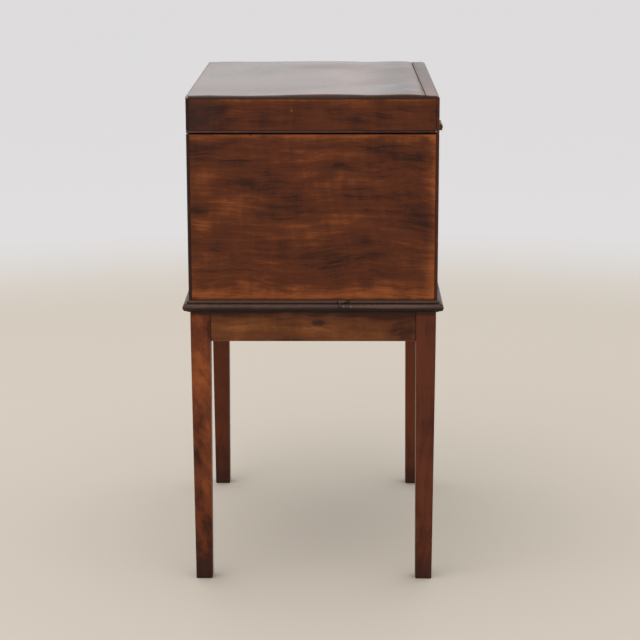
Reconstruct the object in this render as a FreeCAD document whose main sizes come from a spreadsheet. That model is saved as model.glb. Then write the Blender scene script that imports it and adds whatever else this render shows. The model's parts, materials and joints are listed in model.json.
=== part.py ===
"""Cellarette on a stand: a parametric FreeCAD document, one STEP file for each piece.

The frame's origin is on the floor under the middle of the piece. X runs along the length, to the right end,
Y from the front to the back and Z up. All sizes are in millimetres.
"""

import FreeCAD, Part
import os
import re

import Sketcher

doc = FreeCAD.newDocument("Cellarette")

# ---------------------------------------------------------------- driving sizes
DRIVING_SIZES = [
    ("box_length", 523.0, "left end to right end, over the boards"),
    ("box_depth", 378.5, "front to back, over the boards"),
    ("stand_height", 449.7, "floor to the stand's top, where the box sits"),
    ("box_height", 253.3, "box walls"),
    ("seam_gap", 1.9, "gap between the closed lid and the box"),
    ("lid_height", 58.1, "lid, from its lower edge to the top"),
    ("leg_size", 30.2, "leg above the taper, square"),
    ("foot_size", 25.4, "leg at the floor, square"),
    ("leg_setback", 1.8, "legs stand in from the box's faces"),
    ("rail_height", 46.6, "rails between the legs"),
    ("rail_thickness", 19.0, "rails"),
    ("rail_setback", 0.3, "rails stand in from the legs' faces"),
    ("tenon_thickness", 8.0, "tenons on the rails"),
    ("tenon_apart", 1.4, "between the two tenons that meet in a leg"),
    ("tenon_shoulder", 6.0, "rail above and below its tenon"),
    ("joint_fit", 0.1, "clearance round a tenon or in a recess"),
    ("frame_thickness", 18.0, "frame on the stand, with the moulded edge"),
    ("frame_projection", 9.15, "the torus stands out from the box's faces"),
    ("frame_inside", 52.0, "frame boards reach in from the box's faces"),
    ("ledge_projection", 3.2, "flat ledge above the torus"),
    ("ledge_height", 3.4, "square edge of the ledge"),
    ("cove_height", 1.6, "slope under the torus"),
    ("block_height", 24.0, "glued corner blocks"),
    ("block_reach", 36.0, "corner blocks, along each rail"),
    ("board", 12.7, "walls of the box and of the lid"),
    ("corner_lip", 4.3, "lip of the front and back boards past the end boards"),
    ("corner_round", 1.6, "rounded upright corners"),
    ("quirk", 0.6, "small bevel that marks a joint"),
    ("bottom_thickness", 9.5, "bottom board of the box"),
    ("bottom_rabbet", 6.35, "bottom board reaches into the walls"),
    ("lining_thickness", 1.5, "baize on the bottom"),
    ("divider_thickness", 6.35, "bottle partitions"),
    ("divider_height", 112.0, "bottle partitions"),
    ("divider_fit", 0.3, "partition to wall, and slot to partition"),
    ("top_thickness", 6.4, "top board of the lid"),
    ("top_round", 2.6, "rounded upper edge of the top"),
    ("top_strip_width", 22.0, "separate strip along the back of the top"),
    ("top_joint", 1.2, "open joint between the top board and its strip"),
    ("bead_height", 4.2, "bead along the lid's lower edge"),
    ("bead_depth", 4.0, "bead's rabbet, into the board"),
    ("hinge_length", 56.0, "butt hinges"),
    ("hinge_inset", 73.0, "end of the box to the near end of a hinge"),
    ("hinge_clearance", 0.5, "hinge knuckles to the boards and to the other leaf"),
    ("hinge_margin", 2.1, "wood left inside a hinge leaf"),
    ("barrel_radius", 4.3, "hinge knuckles"),
    ("pin_radius", 2.0, "hinge pins"),
    ("pin_clearance", 0.05, "pin in its knuckles"),
    ("knuckle_gap", 0.3, "between neighbouring knuckles"),
    ("leaf_thickness", 2.0, "hinge leaves"),
    ("stop_length", 5.0, "stop at each end of a hinge, along the pin"),
    ("open_angle", 98.0, "the lid's travel, in degrees"),
    ("screw_radius", 1.4, "shank of the small screws"),
    ("screw_head_radius", 2.8, "head of the small screws"),
    ("screw_head_height", 1.5, "head of the small screws"),
    ("screw_length", 11.0, "small screws"),
    ("screw_fit", 0.05, "screw in its hole"),
    ("fixing_radius", 2.2, "shank of the screws that hold the box down"),
    ("fixing_head_radius", 4.4, "head of the screws that hold the box down"),
    ("fixing_head_height", 2.6, "head of the screws that hold the box down"),
    ("fixing_cover", 3.2, "wood left above the screws that hold the box down"),
    ("lock_cover", 2.7, "wood left in front of the lock case"),
    ("case_wall", 1.2, "walls of the lock case"),
    ("bolt_room", 5.5, "lock case, past the ends of its drawn bolt"),
    ("key_room", 9.0, "lock case, below the keyhole"),
    ("top_plate_ear", 11.0, "top plate of the lock, past its case"),
    ("top_plate_thickness", 2.0, "top plate of the lock"),
    ("top_plate_margin", 1.6, "wood left in front of the lock's top plate"),
    ("link_plate_ear", 24.0, "plate of the hooks, past each hook"),
    ("link_plate_thickness", 2.0, "plate of the hooks"),
    ("link_plate_margin", 0.5, "wood left beside the plate of the hooks"),
    ("hook_spacing", 28.0, "between the two hooks"),
    ("hook_thickness", 2.5, "each hook, along the board"),
    ("hook_cheek", 1.0, "metal beside a hook's eye"),
    ("hook_drop", 10.5, "each hook, below its plate"),
    ("hook_end", 1.8, "metal below the hook's eye"),
    ("hook_slot_fit", 0.6, "round a hook in the top plate"),
    ("nose_width", 2.4, "bolt's nose, across the board"),
    ("nose_height", 3.4, "bolt's nose"),
    ("nose_fit_side", 0.3, "bolt's nose in an eye, to each side"),
    ("nose_fit_height", 0.5, "bolt's nose in an eye, above and below"),
    ("nose_lead", 1.0, "drawn bolt's nose to its hook"),
    ("post_length", 3.0, "uprights of the bolt"),
    ("bolt_travel", 5.0, "throw of the bolt"),
    ("bolt_bar_height", 6.0, "bar that joins the two noses"),
    ("bolt_fit", 0.3, "bar to the runners under it"),
    ("runner_length", 4.0, "each runner in the lock case, along the board"),
    ("runner_height", 2.0, "each runner in the lock case"),
    ("key_drop", 19.0, "seam to the keyhole's round"),
    ("key_radius", 2.6, "keyhole's round"),
    ("key_slot_width", 2.6, "keyhole's slot"),
    ("key_slot_length", 8.0, "keyhole's round to the end of its slot"),
    ("escutcheon_rim", 2.0, "brass round the keyhole"),
    ("escutcheon_depth", 1.6, "brass round the keyhole"),
    ("escutcheon_proud", 0.3, "brass in front of the board's face"),
    ("escutcheon_fit", 0.05, "brass in its recess"),
]

sizes = doc.addObject("Spreadsheet::Sheet", "Sizes")
for row, (alias, number, note) in enumerate(DRIVING_SIZES, start=1):
    sizes.set(f"A{row}", note)
    sizes.set(f"B{row}", str(number))
    sizes.setAlias(f"B{row}", alias)

# ---------------------------------------------------------------- places that follow from the sizes
PLACES = [
    ("half_length", "box_length / 2"),
    ("half_depth", "box_depth / 2"),
    ("frame_bottom", "stand_height - frame_thickness"),
    ("rail_bottom", "frame_bottom - rail_height"),
    ("box_top", "stand_height + box_height"),
    ("lid_bottom", "box_top + seam_gap"),
    ("lid_top_z", "lid_bottom + lid_height"),
    ("top_board_z", "lid_top_z - top_thickness"),
    ("leg_outer_x", "half_length - leg_setback"),
    ("leg_outer_y", "half_depth - leg_setback"),
    ("rail_inner", "rail_setback + rail_thickness"),
    ("tenon_length", "leg_size - rail_setback - (rail_thickness + tenon_thickness) / 2 - tenon_apart"),
    ("torus_radius", "(frame_thickness - ledge_height - quirk - cove_height) / 2"),
    ("inner_x", "half_length - board"),
    ("inner_y", "half_depth - board"),
    ("floor_z", "stand_height + bottom_thickness"),
    ("divider_z", "floor_z + lining_thickness"),
    ("hinge_offset", "barrel_radius + hinge_clearance"),
    ("hinge_reach", "board - hinge_margin"),
    ("hinge_x", "half_length - hinge_inset - hinge_length / 2"),
    ("hinge_y", "half_depth + hinge_offset"),
    ("hinge_z", "box_top + seam_gap / 2"),
    ("knuckle_pitch", "(hinge_length - 2 * stop_length) / 5"),
    ("leaf_inner", "hinge_offset + hinge_reach"),
    ("leaf_screw_y", "half_depth - hinge_reach / 2"),
    ("leaf_screw_spacing", "hinge_length / 3"),
    ("fixing_inset", "(frame_inside + leg_setback + rail_inner) / 2"),
    ("fixing_length", "frame_thickness + bottom_thickness - fixing_cover"),
    ("case_depth", "board - lock_cover"),
    ("lock_y", "inner_y + case_depth / 2"),
    ("eye_width", "nose_width + 2 * nose_fit_side"),
    ("eye_height", "nose_height + 2 * nose_fit_height"),
    ("eye_bottom", "lid_bottom - hook_drop + hook_end"),
    ("hook_width", "eye_width + 2 * hook_cheek"),
    ("nose_length", "post_length + bolt_travel"),
    ("nose_setback", "hook_thickness / 2 + nose_lead"),
    ("nose_z", "eye_bottom + nose_fit_height"),
    ("case_length", "hook_spacing + 2 * (nose_setback + nose_length + bolt_room + case_wall)"),
    ("case_drop", "key_drop + key_slot_length + key_room - top_plate_thickness"),
    ("top_plate_length", "case_length + 2 * top_plate_ear"),
    ("link_plate_length", "hook_spacing + 2 * link_plate_ear"),
    ("key_z", "box_top - key_drop"),
    ("lock_screw_x", "(case_length + top_plate_ear) / 2"),
    ("link_screw_x", "(hook_spacing + link_plate_ear) / 2"),
]

NAMES = {alias: "Sizes" for alias, number, note in DRIVING_SIZES}
NAMES.update({alias: "Places" for alias, formula in PLACES})


def cells(formula):
    """The formula with each size's name turned into its cell's full name."""
    return re.sub(r"[a-z][a-z_0-9]*", lambda word: full_name(word.group(0)), str(formula))


def full_name(word):
    return f"{NAMES[word]}.{word}" if word in NAMES else word


places = doc.addObject("Spreadsheet::Sheet", "Places")
for row, (alias, formula) in enumerate(PLACES, start=1):
    places.set(f"A{row}", alias)
    places.set(f"B{row}", "=" + cells(formula).replace("Places.", ""))
    places.setAlias(f"B{row}", alias)
doc.recompute()


def value(formula):
    """The number that a formula comes to."""
    number = sizes.evalExpression(cells(formula))
    return float(getattr(number, "Value", number))


# ---------------------------------------------------------------- drawing helpers
LEFT = -1
RIGHT = 1
FRONT = -1
BACK = 1
EASE = 1.0  # how far a cutting outline runs past the wood that it cuts


def signed(side, formula):
    return f"({formula})" if side > 0 else f"-({formula})"


def new_body(label):
    body = doc.addObject("PartDesign::Body", label)
    body.Label = label
    return body


def place(piece, x=0, y=0, z=0, turn=0.0, axis=(0, 0, 1)):
    piece.Placement = FreeCAD.Placement(
        FreeCAD.Vector(value(x), value(y), value(z)), FreeCAD.Rotation(FreeCAD.Vector(*axis), turn)
    )
    for name, formula in (("x", x), ("y", y), ("z", z)):
        piece.setExpression(f"Placement.Base.{name}", cells(formula))


def rectangle(x0, y0, x1, y1):
    return [(x0, y0), (x1, y0), (x1, y1), (x0, y1)]


def new_sketch(body, name, plane, offset):
    """A sketch on one of the body's origin planes, moved along the plane's normal."""
    sketch = body.newObject("Sketcher::SketchObject", name)
    origin_plane = [feature for feature in body.Origin.OriginFeatures if feature.Role == plane][0]
    sketch.AttachmentSupport = [(origin_plane, "")]
    sketch.MapMode = "FlatFace"
    sketch.setExpression("AttachmentOffset.Base.z", cells(offset))
    return sketch


def hold(sketch, kind, geometry, end, formula):
    """Hold one point of a sketch at a distance from the sketch's origin."""
    index = sketch.addConstraint(Sketcher.Constraint(kind, -1, 1, geometry, end, value(formula)))
    sketch.setExpression(f"Constraints[{index}]", cells(formula))


def draw_loop(sketch, steps):
    """A closed outline. A step (x, y) is a corner. A step (x, y, centre_x, centre_y, middle_x, middle_y) is a
    corner that an arc reaches from the corner before it, round the centre and by way of the middle point."""
    corners = [FreeCAD.Vector(value(step[0]), value(step[1]), 0) for step in steps]
    ends = []
    for index, step in enumerate(steps):
        start = corners[index - 1]
        if len(step) == 2:
            edge = sketch.addGeometry(Part.LineSegment(start, corners[index]), False)
            ends.append((edge, 1, 2))
            continue
        middle = FreeCAD.Vector(value(step[4]), value(step[5]), 0)
        edge = sketch.addGeometry(Part.Arc(start, middle, corners[index]), False)
        apart = [sketch.getPoint(edge, end).distanceToPoint(start) for end in (1, 2)]
        ends.append((edge, 1, 2) if apart[0] < apart[1] else (edge, 2, 1))
        chord = corners[index] - start
        kind, formula = ("DistanceX", step[2]) if abs(chord.y) > abs(chord.x) else ("DistanceY", step[3])
        hold(sketch, kind, edge, 3, formula)
    for index, step in enumerate(steps):
        edge, first, last = ends[index]
        next_edge, next_first, next_last = ends[(index + 1) % len(steps)]
        sketch.addConstraint(Sketcher.Constraint("Coincident", edge, last, next_edge, next_first))
        hold(sketch, "DistanceX", edge, last, step[0])
        hold(sketch, "DistanceY", edge, last, step[1])


def draw_circles(sketch, centres, radius):
    for x, y in centres:
        centre = FreeCAD.Vector(value(x), value(y), 0)
        circle = sketch.addGeometry(Part.Circle(centre, FreeCAD.Vector(0, 0, 1), value(radius)), False)
        index = sketch.addConstraint(Sketcher.Constraint("Radius", circle, value(radius)))
        sketch.setExpression(f"Constraints[{index}]", cells(radius))
        hold(sketch, "DistanceX", circle, 3, x)
        hold(sketch, "DistanceY", circle, 3, y)


def shape_sketch(body, name, plane, offset, outlines, circles, radius):
    sketch = new_sketch(body, name + "_sketch", plane, offset)
    for steps in outlines:
        draw_loop(sketch, steps)
    draw_circles(sketch, circles, radius)
    return sketch


def pad(body, name, plane, offset, length, *outlines, circles=(), radius=0):
    """Add material from the outlines, along the plane's normal."""
    feature = body.newObject("PartDesign::Pad", name)
    feature.Profile = shape_sketch(body, name, plane, offset, outlines, circles, radius)
    feature.setExpression("Length", cells(length))
    body.Tip = feature
    doc.recompute()
    return feature


def cut(body, name, plane, offset, depth, *outlines, circles=(), radius=0, along_normal=False):
    """Take material away inside the outlines, against the plane's normal, or along it."""
    before = body.Shape.Volume
    feature = body.newObject("PartDesign::Pocket", name)
    feature.Profile = shape_sketch(body, name, plane, offset, outlines, circles, radius)
    feature.Reversed = along_normal
    feature.setExpression("Length", cells(depth))
    body.Tip = feature
    doc.recompute()
    if not body.Shape.Volume < before - 1e-6:
        raise RuntimeError(f"{body.Label}: {name} cuts nothing")
    return feature


def round_edges(body, name, radius, wanted):
    """Round the edges whose bounding box passes the test."""
    base = body.Tip
    edges = enumerate(base.Shape.Edges, start=1)
    chosen = [f"Edge{number}" for number, edge in edges if wanted(edge.BoundBox)]
    feature = body.newObject("PartDesign::Fillet", name)
    feature.Base = (base, chosen)
    feature.Radius = value(radius)
    feature.setExpression("Radius", cells(radius))
    body.Tip = feature
    doc.recompute()


def near(one, other):
    return abs(one - other) < 1e-4


# ---------------------------------------------------------------- stand: legs
# A mortise's cheeks lie round the middle of the rail.
MORTISE_MIDDLE = "(rail_setback + rail_thickness / 2 - leg_size / 2)"
MORTISE_LOW = f"{MORTISE_MIDDLE} - tenon_thickness / 2 - joint_fit"
MORTISE_HIGH = f"{MORTISE_MIDDLE} + tenon_thickness / 2 + joint_fit"
MORTISE_BOTTOM = "rail_bottom + tenon_shoulder - joint_fit"
MORTISE_TOP = "frame_bottom - tenon_shoulder + joint_fit"
MORTISE_DEPTH = "tenon_length + joint_fit"


def make_leg(label, turn, side_x, side_y):
    """Square leg that tapers on all four faces below the rails, with a mortise for each of its two rails."""
    leg = new_body(label)
    foot = shape_sketch(leg, "foot", "XY_Plane", 0, [square("foot_size")], (), 0)
    knee = shape_sketch(leg, "knee", "XY_Plane", "rail_bottom", [square("leg_size")], (), 0)
    taper = leg.newObject("PartDesign::AdditiveLoft", "taper")
    taper.Profile = foot
    taper.Sections = [knee]
    leg.Tip = taper
    doc.recompute()
    pad(leg, "block", "XY_Plane", "rail_bottom", "rail_height", square("leg_size"))
    mortise = rectangle(MORTISE_LOW, MORTISE_BOTTOM, MORTISE_HIGH, MORTISE_TOP)
    cut(leg, "mortise_long_rail", "YZ_Plane", "leg_size / 2", MORTISE_DEPTH, mortise)
    cut(leg, "mortise_end_rail", "XZ_Plane", "-leg_size / 2", MORTISE_DEPTH, mortise, along_normal=True)
    x = signed(side_x, "leg_outer_x - leg_size / 2")
    y = signed(side_y, "leg_outer_y - leg_size / 2")
    place(leg, x, y, 0, turn)
    return leg


def square(size):
    return rectangle(f"-{size} / 2", f"-{size} / 2", f"{size} / 2", f"{size} / 2")


# each corner of the stand, with the turn that brings a front left piece there
CORNERS = [
    ("front_left", 0.0, LEFT, FRONT),
    ("front_right", 90.0, RIGHT, FRONT),
    ("back_right", 180.0, RIGHT, BACK),
    ("back_left", 270.0, LEFT, BACK),
]

pieces = [make_leg(f"leg_{corner}", turn, side_x, side_y) for corner, turn, side_x, side_y in CORNERS]


# ---------------------------------------------------------------- stand: rails
def make_rail(label, turn, half_run, distance):
    """Rail with a tenon at each end. It is drawn as the front rail, its outer face at y = 0."""
    rail = new_body(label)
    half = f"({half_run} - leg_size)"
    outer_cheek = "(rail_thickness - tenon_thickness) / 2"
    inner_cheek = "(rail_thickness + tenon_thickness) / 2"
    pad(rail, "rail", "XY_Plane", 0, "rail_height", rectangle(f"-{half}", 0, half, "rail_thickness"))
    tenon = rectangle(f"-{half} - tenon_length", outer_cheek, f"{half} + tenon_length", inner_cheek)
    pad(rail, "tenons", "XY_Plane", "tenon_shoulder", "rail_height - 2 * tenon_shoulder", tenon)
    x = {0.0: 0, 90.0: distance, 180.0: 0, 270.0: f"-({distance})"}[turn]
    y = {0.0: f"-({distance})", 90.0: 0, 180.0: distance, 270.0: 0}[turn]
    place(rail, x, y, "rail_bottom", turn)
    return rail


# each side of the stand, with the turn that brings a front piece there
pieces += [
    make_rail("rail_front", 0.0, "leg_outer_x", "leg_outer_y - rail_setback"),
    make_rail("rail_right", 90.0, "leg_outer_y", "leg_outer_x - rail_setback"),
    make_rail("rail_back", 180.0, "leg_outer_x", "leg_outer_y - rail_setback"),
    make_rail("rail_left", 270.0, "leg_outer_y", "leg_outer_x - rail_setback"),
]


# ---------------------------------------------------------------- mitred strips: stand frame and lid bead
MITRE_REACH = f"(frame_thickness + bead_height + {EASE})"  # past any strip, above and below


def make_strip(label, section, half_run, reach_out, reach_in, mitres):
    """Moulded strip along X with its outer face to -Y and the face that it trims at y = 0. Its section is in
    Y and Z, and it is mitred at the ends named in mitres."""
    strip = new_body(label)
    left_end = f"-({half_run}) - {reach_out}" if LEFT in mitres else f"-({half_run})"
    right_end = f"({half_run}) + {reach_out}" if RIGHT in mitres else f"({half_run})"
    pad(strip, "strip", "YZ_Plane", left_end, f"{right_end} - ({left_end})", section)
    for side in mitres:
        outer = signed(side, f"{half_run} + {reach_out} + {EASE}")
        inner = signed(side, f"{half_run} - {reach_in} - {EASE}")
        back = f"{reach_in} + {EASE}"
        mitre = [(outer, f"-{reach_out} - {EASE}"), (outer, back), (inner, back)]
        name = "mitre_left" if side == LEFT else "mitre_right"
        cut(strip, name, "XY_Plane", MITRE_REACH, f"2 * {MITRE_REACH}", mitre)
    return strip


# Section of the stand frame, from its inner lower corner: cove, torus, quirk and ledge.
TORUS_MIDDLE_Z = "(frame_thickness - ledge_height - quirk - torus_radius)"
TORUS_FRONT_Y = "(frame_projection - torus_radius)"
FRAME_SECTION = [
    ("frame_inside", 0),
    ("frame_inside", "frame_thickness"),
    ("-ledge_projection", "frame_thickness"),
    ("-ledge_projection", "frame_thickness - ledge_height"),
    ("-ledge_projection + quirk", "frame_thickness - ledge_height"),
    ("-ledge_projection + quirk", "frame_thickness - ledge_height - quirk"),
    (f"-{TORUS_FRONT_Y}", "frame_thickness - ledge_height - quirk"),
    (f"-{TORUS_FRONT_Y}", f"{TORUS_MIDDLE_Z} - torus_radius",
     f"-{TORUS_FRONT_Y}", TORUS_MIDDLE_Z, "-frame_projection", TORUS_MIDDLE_Z),
    ("-ledge_projection / 2", 0),
]


def drill_frame(board, spots):
    """Counterbored holes, from below, for the screws that hold the box."""
    cut(board, "screw_heads", "XY_Plane", 0, "fixing_head_height + screw_fit", circles=spots,
        radius="fixing_head_radius + screw_fit", along_normal=True)
    cut(board, "screw_holes", "XY_Plane", 0, "frame_thickness", circles=spots,
        radius="fixing_radius + screw_fit", along_normal=True)


def make_frame_board(label, turn, half_run, x, y, spots):
    board = make_strip(label, FRAME_SECTION, half_run, "frame_projection", "frame_inside", (LEFT, RIGHT))
    drill_frame(board, spots)
    place(board, x, y, "frame_bottom", turn)
    return board


LONG_SPOTS = [("-half_length / 2", "fixing_inset"), ("half_length / 2", "fixing_inset")]
END_SPOTS = [(0, "fixing_inset")]
pieces += [
    make_frame_board("stand_frame_front", 0.0, "half_length", 0, "-half_depth", LONG_SPOTS),
    make_frame_board("stand_frame_right", 90.0, "half_depth", "half_length", 0, END_SPOTS),
    make_frame_board("stand_frame_back", 180.0, "half_length", 0, "half_depth", LONG_SPOTS),
    make_frame_board("stand_frame_left", 270.0, "half_depth", "-half_length", 0, END_SPOTS),
]


# ---------------------------------------------------------------- stand: corner blocks
def make_corner_block(label, turn, side_x, side_y):
    """Glue block in the corner of two rails, notched round the leg's inner corner."""
    block = new_body(label)
    inner_leg = "(leg_size + joint_fit)"
    outline = [
        (inner_leg, inner_leg),
        (inner_leg, "rail_inner"),
        (f"{inner_leg} + block_reach", "rail_inner"),
        ("rail_inner", f"{inner_leg} + block_reach"),
        ("rail_inner", inner_leg),
    ]
    pad(block, "block", "XY_Plane", 0, "block_height", outline)
    bottom = "frame_bottom - block_height"
    place(block, signed(side_x, "leg_outer_x"), signed(side_y, "leg_outer_y"), bottom, turn)
    return block


pieces += [make_corner_block(f"corner_block_{corner}", turn, x, y) for corner, turn, x, y in CORNERS]


# ---------------------------------------------------------------- box and lid walls
def make_long_wall(label, side, bottom, height):
    """Front or back board with a rabbet at each end, which leaves a thin lip past the end boards."""
    wall = new_body(label)
    face = signed(side, "half_depth")
    lip = signed(side, "half_depth - corner_lip")
    inside = signed(side, "inner_y")
    outline = [
        ("-half_length", face),
        ("half_length", face),
        ("half_length", lip),
        ("inner_x", lip),
        ("inner_x", inside),
        ("-inner_x", inside),
        ("-inner_x", lip),
        ("-half_length", lip),
    ]
    pad(wall, "board", "XY_Plane", bottom, height, outline)
    outer_y = value(face)
    outer_x = value("half_length")
    round_edges(
        wall,
        "corners",
        "corner_round",
        lambda box: near(box.YMin, outer_y) and near(box.YMax, outer_y) and near(box.XMin, box.XMax)
        and near(abs(box.XMin), outer_x),
    )
    return wall


def make_end_wall(label, side, bottom, height):
    """End board between the lips, with a small bevel at each joint."""
    wall = new_body(label)
    half = "(half_depth - corner_lip)"
    face = signed(side, "half_length")
    bevel = signed(side, "half_length - quirk")
    inside = signed(side, "inner_x")
    outline = [
        (inside, f"-{half}"),
        (bevel, f"-{half}"),
        (face, f"-{half} + quirk"),
        (face, f"{half} - quirk"),
        (bevel, half),
        (inside, half),
    ]
    pad(wall, "board", "XY_Plane", bottom, height, outline)
    return wall


# the bottom board's rabbet, in the walls' lower inner edges
BOTTOM_X = "inner_x + bottom_rabbet"
BOTTOM_Y = "inner_y + bottom_rabbet"


def rabbet_long_wall(wall, side):
    outline = rectangle(f"-({BOTTOM_X})", signed(side, f"inner_y - {EASE}"), BOTTOM_X, signed(side, BOTTOM_Y))
    cut(wall, "bottom_rabbet", "XY_Plane", "stand_height", "bottom_thickness", outline, along_normal=True)


def rabbet_end_wall(wall, side):
    outline = rectangle(signed(side, f"inner_x - {EASE}"), f"-({BOTTOM_Y})", signed(side, BOTTOM_X), BOTTOM_Y)
    cut(wall, "bottom_rabbet", "XY_Plane", "stand_height", "bottom_thickness", outline, along_normal=True)


box_front = make_long_wall("box_front", FRONT, "stand_height", "box_height")
box_back = make_long_wall("box_back", BACK, "stand_height", "box_height")
box_left = make_end_wall("box_left", LEFT, "stand_height", "box_height")
box_right = make_end_wall("box_right", RIGHT, "stand_height", "box_height")
rabbet_long_wall(box_front, FRONT)
rabbet_long_wall(box_back, BACK)
rabbet_end_wall(box_left, LEFT)
rabbet_end_wall(box_right, RIGHT)

LID_WALL = "lid_height - top_thickness"
lid_front = make_long_wall("lid_front", FRONT, "lid_bottom", LID_WALL)
lid_back = make_long_wall("lid_back", BACK, "lid_bottom", LID_WALL)
lid_left = make_end_wall("lid_left", LEFT, "lid_bottom", LID_WALL)
lid_right = make_end_wall("lid_right", RIGHT, "lid_bottom", LID_WALL)
pieces += [box_front, box_back, box_left, box_right, lid_front, lid_back, lid_left, lid_right]

# the screws that hold the box down: four in the long boards of the stand's frame and two in its end boards
FIXING_SPOTS = [
    (signed(side_x, "half_length / 2"), signed(side_y, "half_depth - fixing_inset"))
    for side_y in (FRONT, BACK)
    for side_x in (LEFT, RIGHT)
]
FIXING_SPOTS += [(signed(side, "half_length - fixing_inset"), 0) for side in (LEFT, RIGHT)]

# bottom board, held in the rabbets, and the baize on it
box_bottom = new_body("box_bottom")
pad(box_bottom, "board", "XY_Plane", "stand_height", "bottom_thickness",
    rectangle(f"-({BOTTOM_X})", f"-({BOTTOM_Y})", BOTTOM_X, BOTTOM_Y))
cut(box_bottom, "screw_holes", "XY_Plane", "stand_height", "bottom_thickness - fixing_cover + joint_fit",
    circles=FIXING_SPOTS, radius="fixing_radius + screw_fit", along_normal=True)
floor_lining = new_body("floor_lining")
LINING_X = "(inner_x - divider_fit)"
LINING_Y = "(inner_y - divider_fit)"
pad(floor_lining, "baize", "XY_Plane", "floor_z", "lining_thickness",
    rectangle(f"-{LINING_X}", f"-{LINING_Y}", LINING_X, LINING_Y))
pieces += [box_bottom, floor_lining]


# ---------------------------------------------------------------- bottle partitions
ALONG_THE_BOX = ("front", "back")
ACROSS_THE_BOX = ("left", "middle", "right")


def divider_places(names, inside):
    """Middles of the named partitions, which divide the width from -inside to +inside into equal cells."""
    parts = len(names) + 1
    return [f"(-{inside} + {number} * 2 * {inside} / {parts})" for number in range(1, parts)]


LONG_PLACES = divider_places(ALONG_THE_BOX, "inner_y")
CROSS_PLACES = divider_places(ACROSS_THE_BOX, "inner_x")
SLOT_HALF = "(divider_thickness + divider_fit) / 2"
SLOT_DEPTH = "divider_height / 2 + divider_fit"


def make_long_divider(label, middle):
    """Partition along the box, slotted from above for each cross partition."""
    divider = new_body(label)
    half = "(inner_x - divider_fit)"
    pad(divider, "board", "XY_Plane", "divider_z", "divider_height",
        rectangle(f"-{half}", f"{middle} - divider_thickness / 2", half, f"{middle} + divider_thickness / 2"))
    low = f"{middle} - divider_thickness"
    high = f"{middle} + divider_thickness"
    slots = [rectangle(f"{x} - {SLOT_HALF}", low, f"{x} + {SLOT_HALF}", high) for x in CROSS_PLACES]
    cut(divider, "slots", "XY_Plane", "divider_z + divider_height", SLOT_DEPTH, *slots)
    return divider


def make_cross_divider(label, middle):
    """Partition across the box, slotted from below for each long partition."""
    divider = new_body(label)
    half = "(inner_y - divider_fit)"
    pad(divider, "board", "XY_Plane", "divider_z", "divider_height",
        rectangle(f"{middle} - divider_thickness / 2", f"-{half}", f"{middle} + divider_thickness / 2", half))
    low = f"{middle} - divider_thickness"
    high = f"{middle} + divider_thickness"
    slots = [rectangle(low, f"{y} - {SLOT_HALF}", high, f"{y} + {SLOT_HALF}") for y in LONG_PLACES]
    cut(divider, "slots", "XY_Plane", "divider_z", SLOT_DEPTH, *slots, along_normal=True)
    return divider


for name, y in zip(ALONG_THE_BOX, LONG_PLACES):
    pieces.append(make_long_divider(f"long_divider_{name}", y))
for name, x in zip(ACROSS_THE_BOX, CROSS_PLACES):
    pieces.append(make_cross_divider(f"cross_divider_{name}", x))

# ---------------------------------------------------------------- lid: bead and top
BEAD_SECTION = [
    ("bead_depth", 0),
    ("bead_depth", "bead_height"),
    ("bead_height / 2", "bead_height"),
    ("bead_height / 2", 0, "bead_height / 2", "bead_height / 2", 0, "bead_height / 2"),
]

BEAD_X = "(half_length - bead_depth)"
BEAD_Y = "(half_depth - bead_depth)"
cut(lid_front, "bead_rabbet", "XY_Plane", "lid_bottom", "bead_height", [
    (f"-half_length - {EASE}", f"-half_depth - {EASE}"),
    (f"half_length + {EASE}", f"-half_depth - {EASE}"),
    (f"half_length + {EASE}", "-inner_y"),
    (BEAD_X, "-inner_y"),
    (BEAD_X, f"-{BEAD_Y}"),
    (f"-{BEAD_X}", f"-{BEAD_Y}"),
    (f"-{BEAD_X}", "-inner_y"),
    (f"-half_length - {EASE}", "-inner_y"),
], along_normal=True)
for wall, side in ((lid_left, LEFT), (lid_right, RIGHT)):
    outer = signed(side, f"half_length + {EASE}")
    outline = rectangle(signed(side, BEAD_X), "-half_depth", outer, "half_depth")
    cut(wall, "bead_rabbet", "XY_Plane", "lid_bottom", "bead_height", outline, along_normal=True)

# the end beads run from the front mitre to the back board's lip
bead_front = make_strip("lid_bead_front", BEAD_SECTION, "half_length", "0", "bead_depth", (LEFT, RIGHT))
place(bead_front, 0, "-half_depth", "lid_bottom", 0.0)
END_BEAD_RUN = "(half_depth - corner_lip / 2)"
bead_right = make_strip("lid_bead_right", BEAD_SECTION, END_BEAD_RUN, "0", "bead_depth", (LEFT,))
place(bead_right, "half_length", "-corner_lip / 2", "lid_bottom", 90.0)
bead_left = make_strip("lid_bead_left", BEAD_SECTION, END_BEAD_RUN, "0", "bead_depth", (RIGHT,))
place(bead_left, "-half_length", "-corner_lip / 2", "lid_bottom", 270.0)
pieces += [bead_front, bead_right, bead_left]


def make_top(label, front, back, outer_faces):
    """Thin board of the lid's top. Its outer upper edges are rounded, and its inner joint stays square."""
    top = new_body(label)
    outline = rectangle("-half_length", front, "half_length", back)
    pad(top, "board", "XY_Plane", "top_board_z", "top_thickness", outline)
    upper = value("lid_top_z")
    end = value("half_length")
    faces = [value(face) for face in outer_faces]
    round_edges(
        top,
        "rounded_edge",
        "top_round",
        lambda box: near(box.ZMin, upper) and near(box.ZMax, upper)
        and (near(box.XMin, box.XMax) and near(abs(box.XMin), end)
             or any(near(box.YMin, face) and near(box.YMax, face) for face in faces)),
    )
    return top


TOP_JOINT_Y = "(half_depth - top_strip_width)"
pieces += [
    make_top("lid_top", "-half_depth", f"{TOP_JOINT_Y} - top_joint", ("-half_depth",)),
    make_top("lid_top_strip", TOP_JOINT_Y, "half_depth", ("half_depth",)),
]


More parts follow.
